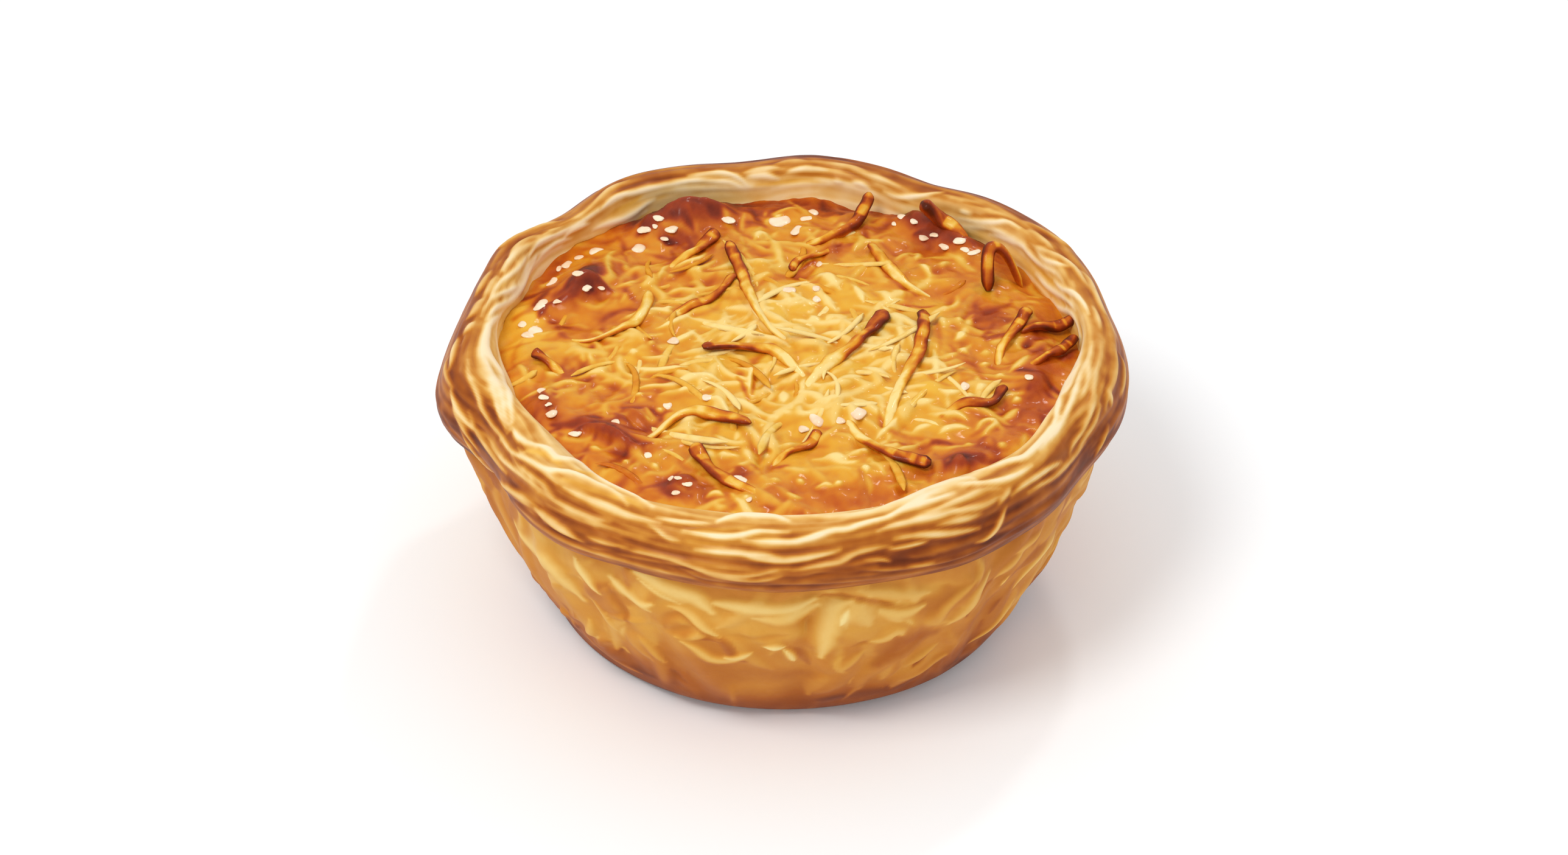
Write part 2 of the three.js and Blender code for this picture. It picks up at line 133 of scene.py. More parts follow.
# Large toasted shreds: tip x, tip y, end x, end y, bow, wiggle, width, lift of the tip, rise of the middle,
# browning at the tip, browning at the end
LARGE_SHREDS = [
    (10.3, 30.4, 2.3, 22, 1.7, 0, 1.5, 3.1, 0.3, 0.85, 0.6),
    (16.6, 25.4, 21.8, 22.3, 1, 0, 2, 3, 0.4, 0.85, 0.6),
    (24.3, 12.9, 28.4, 15.4, 2.8, 0, 1.6, 0, 3.7, 0.85, 0.7),
    (12, 6.8, 2.3, -8, 0.1, 0.3, 1.9, 0.6, 0.3, 0.85, 0.15),
    (16.5, 7.4, 11.7, -15.8, 0.5, 0.5, 1.7, 0.6, 0.3, 0.8, 0.1),
    (28.9, 8, 25.1, -1.9, -0.5, 0.3, 1.5, 0.6, 0.3, 0.8, 0.4),
    (34.2, 7.2, 27.6, 4.6, 0.3, 0, 1.5, 1.6, 0.6, 0.9, 0.7),
    (34.2, 3.6, 28.6, -2.4, 0.8, 0, 1.4, 1.3, 0.6, 0.9, 0.7),
    (10.4, 22, 17.9, 11.8, -1.5, 0.4, 1.6, 0.3, 0.2, 0.5, 0.2),
    (0.9, 16.9, 6, 22, 0.4, 0.5, 1.1, 0.2, 0.2, 0.75, 0.5),
    (-3.9, -15.8, -15.9, -18.2, -3.9, 0.3, 1.6, 0.4, 0.4, 0.65, 0.15),
    (-10.3, -19.4, -2.6, -27.6, -1.3, 0, 1.8, 0.6, 0.3, 0.75, 0.6),
    (4, -16.4, -1.3, -21.7, 0.3, 0.4, 1.3, 0.2, 0.2, 0.65, 0.45),
    (16.8, -22.3, 7.2, -14, 1.8, 0, 1.8, 0.6, 0.3, 0.9, 0.3),
    (25.5, -7.4, 18.4, -12.8, 0.5, 0.7, 1.6, 0.5, 0.2, 0.85, 0.7),
    (-9.5, -0.9, 2.6, -6.2, 3, 0.3, 1.7, 0.6, 0.4, 0.8, 0.25),
    (-6.6, 21, 0.9, 1.2, -1.4, 0.5, 1.5, 0.7, 0.3, 0.8, 0.1),
    (-6, 15, -14.2, 4.3, 0.1, 0.6, 1.3, 0.3, 0.2, 0.7, 0.55),
    (-8.1, 24.4, -13.7, 17.5, 0.5, 0, 1.6, 0.5, 0.3, 0.75, 0.3),
    (-29.4, -1, -25.8, -4.3, 0.4, 0, 1.5, 0.7, 0.2, 0.8, 0.35),
    (-16.1, 11.8, -26.3, 3, 4.2, 0, 1.3, 0.3, 0.3, 0.25, 0.3),
]

# The photograph's view: a long lens from in front, 36 degrees up
VIEW_ELEVATION = 36
VIEW_LENS = 145
VIEW_SENSOR = 36
VIEW_HEIGHT = 20.9
VIEW_CLIP = (0.01, 10)
PHOTO_WIDTH = 2576
PHOTO_CENTRE = (1288, 702.5)
PIXELS_PER_MM = 13.9
FOCAL = VIEW_LENS / VIEW_SENSOR * PHOTO_WIDTH
VIEW_DISTANCE = FOCAL / PIXELS_PER_MM

# The studio, in metres and watts; each light has a name, place, size, power and tint
LIGHTS = [
    ("key", (-0.24, -0.3, 0.62), 0.26, 1.9, (1, 0.98, 0.94)),
    ("glint", (0.15, 0.3, 0.5), 0.05, 0.35, (1, 1, 1)),
]
SKY_STRENGTH = 0.74
FLOOR_WIDTH = 3
FLOOR_COLOUR = (0.93, 0.955, 0.98, 1)
FLOOR_GLOW = 0.07

# Strokes seen in the photograph, each as width in millimetres, relief in millimetres, browning,
# then the pixels of the photograph that it passes through; first the rim's ridges
RIM_RIDGES = [
    # front left
    (1.0, 0.4, 0.03, 868, 728, 900, 738, 920, 755, 950, 763, 975, 768, 1000, 785, 1020, 800, 1040, 810, 1055,
     825, 1075, 838),
    (0.7, 0.35, 0.12, 820, 722, 845, 742, 875, 758, 905, 772, 935, 778, 960, 785, 985, 797, 1005, 808, 1025,
     825, 1035, 836),
    (0.8, 0.3, 0.32, 850, 735, 870, 755, 890, 768, 902, 785, 915, 800),
    (0.6, 0.3, 0.36, 838, 748, 860, 770, 880, 785, 895, 800, 912, 820),
    (0.9, 0.3, 0.26, 925, 800, 950, 812, 975, 822, 1000, 835, 1030, 848, 1060, 853, 1090, 858),
    (0.7, 0.3, 0.4, 890, 800, 905, 820, 925, 833, 945, 842, 975, 852, 1005, 857),
    (1.3, 0.4, 0.42, 880, 835, 900, 850, 920, 868, 940, 882, 955, 892),
    (0.6, 0.3, 0.38, 962, 882, 985, 888, 1010, 893, 1035, 898),
    (0.9, 0.35, 0.42, 820, 790, 845, 805, 870, 820, 885, 835),
    (0.8, 0.35, 0.44, 1020, 902, 1050, 905, 1080, 910, 1105, 918, 1130, 930, 1160, 940, 1200, 946, 1240, 943,
     1280, 935, 1300, 932),
    (0.5, 0.3, 0.2, 1065, 862, 1080, 872, 1100, 885, 1120, 893),
    # front
    (0.6, 0.35, 0.04, 1078, 850, 1110, 855, 1145, 857, 1175, 858),
    (1.1, 0.4, 0.02, 1178, 858, 1200, 850, 1225, 845, 1250, 846, 1275, 852, 1300, 858),
    (0.75, 0.35, 0.06, 1120, 872, 1150, 878, 1190, 880, 1220, 876, 1250, 871, 1280, 872, 1300, 876),
    (0.8, 0.35, 0.1, 1220, 888, 1250, 892, 1280, 893, 1310, 888, 1340, 880, 1370, 870, 1395, 868, 1420, 858,
     1450, 848, 1480, 838),
    (0.7, 0.35, 0.2, 1140, 902, 1180, 904, 1215, 905, 1235, 912, 1265, 913, 1290, 916),
    (0.9, 0.35, 0.28, 1215, 908, 1235, 920, 1265, 922, 1300, 922, 1340, 912, 1370, 905, 1385, 900),
    (0.8, 0.35, 0.42, 1300, 938, 1330, 932, 1360, 925, 1385, 918, 1410, 905, 1440, 898, 1470, 900),
    (0.6, 0.3, 0.5, 1420, 920, 1450, 922, 1470, 926),
    (0.7, 0.3, 0.45, 1140, 935, 1170, 948, 1210, 955, 1250, 953, 1290, 948),
    # front right
    (1.0, 0.4, 0.04, 1440, 835, 1465, 822, 1490, 808, 1520, 795, 1545, 788, 1575, 784, 1605, 782),
    (1.0, 0.4, 0.05, 1600, 775, 1630, 765, 1660, 757, 1685, 748, 1700, 735, 1715, 718, 1730, 700, 1740, 680),
    (0.8, 0.35, 0.05, 1440, 858, 1470, 842, 1500, 825, 1530, 808, 1550, 798),
    (0.7, 0.35, 0.1, 1460, 845, 1490, 835, 1520, 826, 1545, 815, 1570, 805),
    (0.8, 0.35, 0.12, 1560, 798, 1595, 795, 1630, 793, 1655, 788, 1680, 778, 1700, 765),
    (0.8, 0.35, 0.2, 1440, 873, 1470, 862, 1500, 855, 1520, 850, 1545, 848, 1570, 840, 1600, 835),
    (0.7, 0.35, 0.3, 1480, 858, 1510, 848, 1535, 838, 1560, 825, 1590, 812, 1620, 806, 1650, 803),
    (0.9, 0.35, 0.35, 1560, 845, 1590, 838, 1615, 835, 1635, 825, 1645, 812),
    (0.9, 0.35, 0.4, 1540, 862, 1570, 858, 1600, 852, 1618, 845),
    (1.0, 0.35, 0.36, 1470, 885, 1510, 882, 1550, 878, 1590, 876, 1615, 870),
    (0.6, 0.35, 0.28, 1460, 904, 1485, 900, 1510, 893, 1530, 890),
    (0.8, 0.4, 0.28, 1662, 815, 1680, 795, 1705, 785, 1730, 770, 1750, 757),
    (0.7, 0.35, 0.33, 1605, 893, 1625, 882, 1640, 865, 1650, 845, 1655, 828),
    (0.7, 0.35, 0.38, 1640, 830, 1650, 815, 1665, 800),
    (0.7, 0.35, 0.36, 1690, 810, 1710, 800, 1735, 785, 1755, 768, 1775, 745, 1790, 725),
    (0.7, 0.35, 0.4, 1770, 740, 1785, 715, 1800, 690, 1812, 660),
    (0.7, 0.35, 0.45, 1800, 750, 1815, 720, 1825, 695),
    (0.6, 0.3, 0.5, 1490, 930, 1520, 930, 1540, 927),
    # right
    (0.8, 0.35, 0.1, 1757, 660, 1750, 690, 1735, 710, 1715, 730, 1705, 745),
    (0.7, 0.35, 0.3, 1800, 650, 1790, 680, 1775, 710, 1760, 735, 1755, 750),
    (1.0, 0.4, 0.35, 1820, 640, 1828, 655, 1825, 670),
    (0.8, 0.35, 0.42, 1840, 580, 1845, 600, 1843, 630, 1838, 655),
    (0.8, 0.35, 0.4, 1830, 565, 1832, 590, 1828, 620, 1820, 650, 1812, 675),
    (0.7, 0.3, 0.35, 1810, 560, 1808, 590, 1800, 620, 1795, 650, 1785, 680),
    (0.7, 0.35, 0.22, 1795, 560, 1790, 600, 1785, 630, 1775, 660),
    (0.8, 0.35, 0.12, 1785, 590, 1775, 620, 1765, 650, 1755, 680, 1738, 705),
    (0.8, 0.35, 0.06, 1770, 600, 1752, 635, 1745, 660, 1735, 690, 1722, 715),
    (0.7, 0.3, 0.35, 1793, 500, 1800, 520, 1805, 545),
    (0.9, 0.4, 0.28, 1778, 445, 1790, 465, 1798, 485, 1808, 505, 1815, 520),
    (0.7, 0.35, 0.35, 1690, 375, 1712, 392, 1735, 412),
    (0.7, 0.35, 0.45, 1680, 362, 1700, 372, 1725, 390, 1750, 405, 1765, 420),
    (0.8, 0.35, 0.28, 1690, 400, 1715, 412, 1745, 425, 1765, 440, 1780, 460, 1795, 485),
    (0.9, 0.35, 0.03, 1728, 490, 1745, 505, 1765, 515, 1775, 535, 1778, 560, 1772, 585),
    (0.8, 0.35, 0.06, 1730, 462, 1750, 475, 1770, 488, 1785, 505, 1790, 520),
    (0.9, 0.35, 0.08, 1700, 450, 1720, 465, 1740, 480, 1760, 495, 1770, 510),
    (0.7, 0.35, 0.1, 1700, 410, 1720, 425, 1740, 435, 1760, 440),
    (0.9, 0.35, 0.05, 1625, 385, 1645, 388, 1665, 396, 1685, 405, 1695, 420, 1710, 435, 1735, 448),
    (0.7, 0.35, 0.2, 1580, 372, 1610, 372, 1640, 378, 1665, 388, 1690, 400),
    (0.8, 0.35, 0.12, 1575, 358, 1605, 362, 1635, 365, 1660, 368, 1675, 378),
    # back
    (0.6, 0.3, 0.2, 1575, 346, 1590, 348, 1600, 350),
    (0.7, 0.3, 0.12, 1450, 315, 1475, 325, 1500, 325, 1525, 318, 1555, 315),
    (0.7, 0.3, 0.3, 1400, 280, 1425, 288, 1450, 298, 1480, 310),
    (0.7, 0.3, 0.15, 1400, 298, 1420, 302, 1432, 312),
    (0.6, 0.3, 0.1, 1365, 298, 1375, 296, 1390, 299),
    (0.7, 0.3, 0.4, 1360, 268, 1390, 272, 1410, 280, 1430, 288),
    (0.9, 0.35, 0.14, 1292, 283, 1320, 275, 1345, 278, 1362, 284),
    (0.9, 0.35, 0.08, 1228, 290, 1245, 288, 1265, 292, 1285, 296),
    (0.7, 0.3, 0.2, 1222, 284, 1245, 278, 1270, 277, 1290, 279),
    (0.7, 0.3, 0.45, 1270, 270, 1300, 263, 1330, 262),
    (0.7, 0.35, 0.14, 1130, 288, 1160, 283, 1190, 285, 1215, 295, 1235, 312),
    (0.7, 0.35, 0.1, 1095, 303, 1120, 297, 1150, 298, 1180, 300, 1205, 302, 1230, 310),
    # left back
    (0.9, 0.35, 0.1, 985, 348, 1000, 332, 1020, 322, 1045, 318, 1070, 312, 1100, 305, 1130, 303),
    (1.0, 0.35, 0.06, 975, 378, 1000, 370, 1025, 360, 1045, 350, 1060, 335, 1080, 325),
    (0.8, 0.35, 0.08, 925, 392, 945, 380, 960, 372, 975, 368),
    (0.9, 0.35, 0.08, 885, 425, 900, 410, 920, 398, 945, 393),
    (0.8, 0.35, 0.08, 870, 425, 885, 400, 900, 390, 920, 385),
    (0.7, 0.35, 0.38, 970, 340, 985, 320, 1000, 308, 1020, 300, 1035, 293),
    (0.8, 0.3, 0.42, 850, 382, 875, 372, 900, 365, 925, 360),
    (0.8, 0.35, 0.4, 835, 425, 850, 405, 870, 390, 890, 382),
    (0.7, 0.35, 0.26, 820, 450, 835, 430, 850, 412, 865, 402, 880, 395),
    (0.8, 0.35, 0.14, 818, 470, 835, 455, 850, 445, 862, 430, 872, 415),
    (1.1, 0.35, 0.04, 800, 525, 815, 508, 840, 495, 860, 475, 870, 455, 878, 435, 885, 420),
    (0.8, 0.35, 0.08, 802, 498, 820, 485, 840, 478, 858, 468),
    (0.7, 0.35, 0.18, 790, 520, 795, 505, 808, 490, 815, 475, 828, 460, 845, 445),
    # left
    (1.2, 0.35, 0.04, 822, 520, 803, 530, 795, 550, 797, 575, 808, 600, 822, 620, 832, 645, 838, 670, 842,
     700),
    (0.8, 0.35, 0.1, 790, 560, 790, 580, 800, 605, 812, 630, 822, 655, 830, 685, 838, 712),
    (0.7, 0.3, 0.14, 796, 605, 803, 625, 810, 650, 820, 680, 828, 700, 836, 716),
    (0.7, 0.3, 0.28, 770, 590, 768, 610, 775, 635, 785, 655, 795, 675, 810, 700, 825, 720, 845, 745),
    # A pale strand that is partly a painted highlight
    (0.9, 0.4, 0.18, 740, 640, 748, 660, 755, 680, 765, 692, 778, 702, 790, 712),
    (0.8, 0.35, 0.33, 768, 675, 778, 690, 785, 710, 795, 725, 808, 742, 822, 760, 835, 778),
    (0.8, 0.35, 0.36, 736, 585, 735, 600, 738, 620, 745, 640),
    (0.7, 0.3, 0.3, 800, 720, 815, 740, 830, 755, 850, 770, 875, 790, 890, 805),
    (0.9, 0.3, 0.14, 840, 700, 850, 720, 870, 730, 890, 733),
    (1.0, 0.35, 0.3, 794, 489, 804, 474, 812, 461, 816, 448),
    (1.0, 0.35, 0.36, 782, 487, 790, 470, 800, 452, 808, 441),
    (1.2, 0.35, 0.32, 768, 524, 777, 510, 788, 494, 799, 484),
    (0.9, 0.35, 0.3, 737, 608, 739, 588, 742, 570, 748, 552),
    (1.0, 0.35, 0.34, 762, 546, 770, 534, 780, 524),
    (0.8, 0.35, 0.32, 827, 444, 846, 421, 873, 404, 902, 388),
    (0.9, 0.35, 0.38, 815, 412, 835, 396, 858, 382, 880, 370),
    (0.8, 0.35, 0.36, 742, 660, 750, 684, 762, 704, 776, 722, 790, 742),
    (0.9, 0.35, 0.4, 756, 706, 770, 728, 786, 748, 800, 766, 815, 782),
]
# Yellow strips of the rim
RIM_GOLD = [
    (1.1, -0.15, 0.3, 862, 742, 885, 745, 905, 752, 925, 765),
    (1.0, -0.15, 0.36, 945, 772, 965, 778, 985, 790, 1005, 800),
    (0.9, -0.15, 0.4, 925, 785, 950, 793, 975, 803, 995, 812, 1015, 825),
    (0.6, -0.15, 0.34, 1005, 812, 1030, 822, 1050, 835, 1062, 842),
    (0.5, -0.15, 0.38, 1130, 865, 1170, 868, 1210, 866, 1250, 862),
    (0.5, -0.15, 0.4, 1225, 882, 1255, 880, 1285, 883),
    (0.5, -0.15, 0.42, 1120, 888, 1160, 893, 1200, 894),
    (0.5, -0.15, 0.35, 812, 700, 822, 712, 835, 725),
    (0.6, -0.15, 0.3, 820, 475, 835, 463, 850, 450, 862, 438),
    (0.7, -0.15, 0.34, 1000, 355, 1020, 345, 1040, 335, 1060, 322),
    (0.6, -0.15, 0.36, 1240, 305, 1280, 303, 1320, 300, 1360, 303),
    (0.6, -0.15, 0.36, 1690, 430, 1710, 448, 1735, 465, 1760, 478),
]
# Grooves between the rim's layers
RIM_GROOVES = [
    # front left
    (0.7, -0.3, 0.62, 876, 760, 893, 782, 905, 800, 918, 816, 940, 830, 965, 845, 1000, 852, 1030, 858, 1060,
     866),
    (0.7, -0.3, 0.7, 886, 820, 905, 840, 930, 852, 960, 863, 990, 870, 1020, 875),
    (1.3, -0.2, 0.6, 975, 868, 1000, 874, 1025, 880),
    (0.5, -0.3, 0.55, 820, 755, 840, 775, 862, 795, 880, 815, 890, 832),
    (0.4, -0.3, 0.68, 960, 890, 985, 897, 1010, 903, 1040, 905),
    (0.4, -0.25, 0.58, 1075, 875, 1095, 888, 1110, 897),
    # Dark line under the hem, in two strokes: painted shadow
    (0.6, -0.3, 0.74, 820, 800, 850, 822, 878, 838, 895, 860, 915, 880, 945, 895, 980, 905, 1020, 908, 1060,
     914, 1075, 918),
    (0.6, -0.3, 0.74, 1075, 918, 1100, 932, 1130, 945, 1160, 957, 1200, 962, 1240, 965, 1270, 963, 1300, 960),
    # front
    (1.2, -0.25, 0.58, 1140, 915, 1170, 925, 1200, 930, 1230, 928),
    (0.5, -0.3, 0.64, 1200, 898, 1230, 900, 1270, 908, 1310, 905, 1340, 898, 1370, 893, 1400, 890, 1440, 883,
     1480, 877),
    # Dark line under the hem, continued: painted shadow
    (1.0, -0.3, 0.8, 1300, 955, 1330, 948, 1360, 940, 1400, 940, 1440, 944, 1460, 946, 1490, 943),
    (0.5, -0.3, 0.7, 1310, 922, 1340, 920, 1370, 913, 1390, 905),
    # front right
    (0.5, -0.3, 0.68, 1440, 878, 1480, 875, 1530, 872, 1570, 868, 1610, 862),
    (0.6, -0.3, 0.8, 1440, 905, 1480, 903, 1520, 903, 1550, 900, 1580, 890, 1600, 880),
    (1.5, -0.35, 0.88, 1445, 925, 1475, 922, 1505, 922),
    (0.6, -0.3, 0.75, 1520, 922, 1560, 920, 1590, 910, 1615, 898),
    (0.6, -0.3, 0.78, 1608, 872, 1625, 855, 1640, 838, 1650, 825),
    (1.8, -0.3, 0.74, 1640, 878, 1680, 853, 1715, 832, 1745, 808, 1765, 788),
    (0.6, -0.3, 0.7, 1700, 790, 1725, 775, 1745, 755),
    (0.6, -0.3, 0.68, 1745, 740, 1760, 720, 1775, 700),
    # Dark line under the hem, continued: painted shadow
    (0.9, -0.3, 0.8, 1440, 946, 1475, 941, 1500, 942, 1530, 934, 1570, 928, 1600, 915, 1640, 894, 1680, 866,
     1720, 843, 1750, 818),
    # right
    (0.5, -0.3, 0.72, 1840, 650, 1822, 675, 1808, 700, 1795, 720, 1775, 740),
    (0.5, -0.3, 0.68, 1805, 600, 1800, 630, 1790, 660),
    (0.5, -0.3, 0.68, 1825, 580, 1822, 610, 1815, 640, 1808, 665, 1800, 690),
    (0.5, -0.3, 0.62, 1800, 500, 1808, 530, 1812, 560),
    (0.5, -0.3, 0.62, 1700, 400, 1725, 405, 1750, 418, 1765, 435, 1775, 455, 1790, 480, 1800, 500),
    (0.5, -0.3, 0.62, 1590, 352, 1620, 355, 1650, 358, 1680, 370, 1700, 385, 1720, 400),
    # back
    (0.5, -0.3, 0.62, 1580, 330, 1600, 335, 1625, 343),
    (0.5, -0.3, 0.6, 1290, 278, 1320, 270, 1350, 270, 1380, 278, 1410, 292, 1440, 305),
    (0.9, -0.3, 0.72, 985, 345, 1000, 325, 1020, 308, 1045, 298, 1080, 292, 1110, 288, 1135, 284),
    (0.5, -0.3, 0.62, 835, 400, 860, 388, 890, 375, 920, 368, 945, 362, 960, 358),
    (0.7, -0.3, 0.74, 822, 455, 835, 430, 848, 412, 862, 395, 880, 385, 905, 378),
    (0.7, -0.3, 0.7, 850, 425, 868, 405, 885, 392),
    # left
    (1.0, -0.3, 0.62, 754, 613, 757, 590, 761, 572, 768, 555, 777, 534),
    (1.1, -0.3, 0.66, 810, 437, 828, 413, 850, 395, 869, 385),
    (0.8, -0.3, 0.64, 823, 450, 837, 428, 860, 412, 883, 399),
    (0.6, -0.25, 0.56, 790, 478, 797, 462, 806, 448),
    (0.6, -0.25, 0.58, 748, 572, 756, 548, 768, 528),
    (0.9, -0.3, 0.76, 818, 452, 825, 432, 835, 415, 845, 402),
    (0.7, -0.3, 0.66, 785, 480, 795, 460, 808, 435),
    (1.2, -0.25, 0.6, 765, 538, 757, 560, 753, 590),
    (0.6, -0.3, 0.66, 752, 560, 750, 590, 755, 620, 765, 645, 778, 668, 790, 690, 805, 712),
    (0.5, -0.3, 0.72, 738, 650, 745, 675, 755, 695, 768, 712, 782, 728),
    (0.9, -0.3, 0.62, 722, 665, 735, 695, 755, 720, 780, 745, 800, 765, 820, 785, 840, 800),
    (0.9, -0.3, 0.78, 790, 775, 810, 790, 830, 805, 850, 822),
    (0.4, -0.3, 0.62, 773, 605, 772, 626),
]

# Soft zones of colour on the wall
WALL_ZONES = [
    (4, 0, 0.5, 850, 870, 880, 930, 920, 1000, 950, 1040),
    (6, 0, 0.38, 900, 880, 940, 960, 980, 1000),
    (8, 0, 0.68, 930, 1000, 980, 1060, 1040, 1080),
    (6, 0, 0.74, 1000, 1080, 1060, 1110, 1130, 1130),
    (5, 0, 0.8, 960, 1050, 1010, 1085, 1080, 1120, 1160, 1145, 1240, 1155, 1330, 1155, 1420, 1148, 1500, 1130,
     1560, 1105, 1610, 1070),
    (8, 0, 0.33, 1020, 1000, 1060, 1020, 1090, 1030),
    (10, 0, 0.3, 1180, 1020, 1260, 1040, 1320, 1040),
    (7, 0, 0.6, 1120, 1095, 1200, 1105, 1280, 1110, 1330, 1110),
    (4, 0, 0.52, 1080, 950, 1160, 970, 1240, 975, 1320, 970, 1400, 960),
    (8, 0, 0.36, 1380, 1040, 1420, 1040, 1450, 1010),
    (8, 0, 0.68, 1440, 1090, 1490, 1050, 1540, 1040),
    (8, 0, 0.64, 1500, 1000, 1560, 990, 1600, 960),
    (4, 0, 0.48, 1420, 970, 1480, 960, 1540, 950, 1590, 930),
    (7, 0, 0.58, 1600, 1010, 1630, 960, 1660, 910, 1700, 870),
    (6, 0, 0.76, 1500, 1110, 1560, 1080, 1610, 1050),
]
# Light folds of the wall: paler raised folds, partly a painted highlight on them
WALL_LIGHTS = [
    (3.5, 0.45, 0.18, 850, 860, 875, 890, 900, 915, 925, 945, 945, 975, 960, 990),
    (2.0, 0.4, 0.1, 945, 915, 955, 935, 965, 950, 975, 965, 988, 978),
    (1.8, 0.35, 0.28, 972, 985, 985, 1005, 1000, 1025, 1015, 1038),
    (2.6, 0.45, 0.13, 1005, 945, 1025, 965, 1040, 980, 1060, 990, 1075, 988),
    (1.3, 0.3, 0.22, 1050, 985, 1062, 998, 1068, 1008),
    (3.4, 0.5, 0.16, 1040, 930, 1065, 950, 1095, 965, 1125, 975, 1145, 985, 1160, 1000, 1170, 1010),
    (1.4, 0.4, 0.14, 1050, 950, 1075, 968, 1100, 985, 1120, 996),
    (1.5, 0.35, 0.2, 1100, 995, 1125, 1003, 1145, 1015, 1160, 1035, 1185, 1050),
    (2.6, 0.45, 0.18, 1165, 990, 1200, 990, 1230, 995, 1270, 1002, 1310, 1000, 1345, 985),
    (2.6, 0.4, 0.22, 1240, 1015, 1290, 1015, 1330, 1000, 1345, 990),
    (1.9, 0.4, 0.22, 1120, 1055, 1145, 1070, 1170, 1085, 1200, 1082, 1235, 1070),
    (1.2, 0.45, 0.12, 1185, 1080, 1215, 1073, 1240, 1068),
    (1.5, 0.5, 0.03, 1256, 1062, 1275, 1060, 1290, 1058),
    (1.3, 0.45, 0.08, 1288, 1065, 1300, 1078, 1308, 1088),
    (1.5, 0.35, 0.4, 1050, 1045, 1065, 1065, 1080, 1080, 1095, 1092),
    (1.6, 0.3, 0.58, 960, 1040, 985, 1065, 1020, 1085, 1060, 1105),
    (2.9, 0.5, 0.2, 1400, 985, 1375, 1000, 1360, 1030, 1350, 1060, 1345, 1080),
    # A painted highlight on a fold
    (1.0, 0.5, 0.02, 1395, 1000, 1385, 1015, 1378, 1035),
    (3.2, 0.4, 0.26, 1400, 990, 1420, 1010, 1430, 1030),
    (2.3, 0.4, 0.24, 1440, 1003, 1480, 1012, 1520, 992),
    (2.2, 0.4, 0.3, 1410, 970, 1450, 975, 1490, 980, 1530, 975),
    (2.4, 0.45, 0.26, 1430, 1052, 1455, 1047, 1475, 1034, 1486, 1045),
    (1.6, 0.35, 0.38, 1380, 1100, 1400, 1080, 1420, 1065),
    (2.2, 0.45, 0.27, 1625, 940, 1605, 975, 1595, 995, 1580, 1015, 1560, 1030),
    (1.6, 0.35, 0.38, 1600, 950, 1570, 980, 1550, 1005, 1545, 1030),
    (1.8, 0.4, 0.33, 1680, 900, 1650, 930, 1630, 950),
    (1.9, 0.45, 0.18, 1735, 875, 1715, 895, 1695, 920, 1680, 945, 1668, 970),
    (1.3, 0.4, 0.28, 1665, 985, 1645, 1010, 1620, 1035, 1590, 1060),
    (1.4, 0.4, 0.4, 1540, 1060, 1520, 1075, 1500, 1090, 1490, 1100),
    (1.4, 0.35, 0.48, 1560, 1070, 1530, 1090, 1500, 1110, 1470, 1118),
    (0.5, 0.3, 0.1, 1655, 948, 1648, 958, 1642, 968),
    (1.6, 0.35, 0.32, 1710, 865, 1690, 885, 1660, 910),
]
# Creases between the wall's folds, browner, partly painted shade in them
WALL_CREASES = [
    (1.0, -0.3, 0.55, 1135, 1020, 1150, 1037, 1165, 1047, 1185, 1053),
    (1.6, -0.3, 0.55, 1090, 1035, 1095, 1015, 1115, 1010, 1130, 1018, 1140, 1035),
    (5.0, -0.4, 0.54, 1110, 1030, 1120, 1050),
    (1.0, -0.3, 0.45, 1165, 1000, 1190, 1003, 1210, 1010),
    (1.2, -0.25, 0.46, 1180, 1040, 1230, 1048, 1270, 1045, 1300, 1040),
    (2.4, -0.5, 0.5, 1335, 960, 1335, 1000, 1332, 1030, 1335, 1060),
    (1.2, -0.3, 0.62, 1340, 985, 1370, 975, 1400, 978, 1440, 990, 1480, 998, 1520, 990),
    (1.0, -0.3, 0.6, 1400, 1062, 1420, 1054, 1440, 1052, 1470, 1030),
    (1.2, -0.35, 0.75, 1630, 950, 1612, 980, 1600, 1005, 1590, 1020),
    (0.9, -0.3, 0.85, 1530, 1070, 1515, 1085, 1500, 1100),
    (1.0, -0.2, 0.8, 1100, 1100, 1115, 1115, 1130, 1125),
    (1.4, -0.3, 0.62, 1000, 960, 1010, 985, 1025, 1010, 1030, 1030),
]

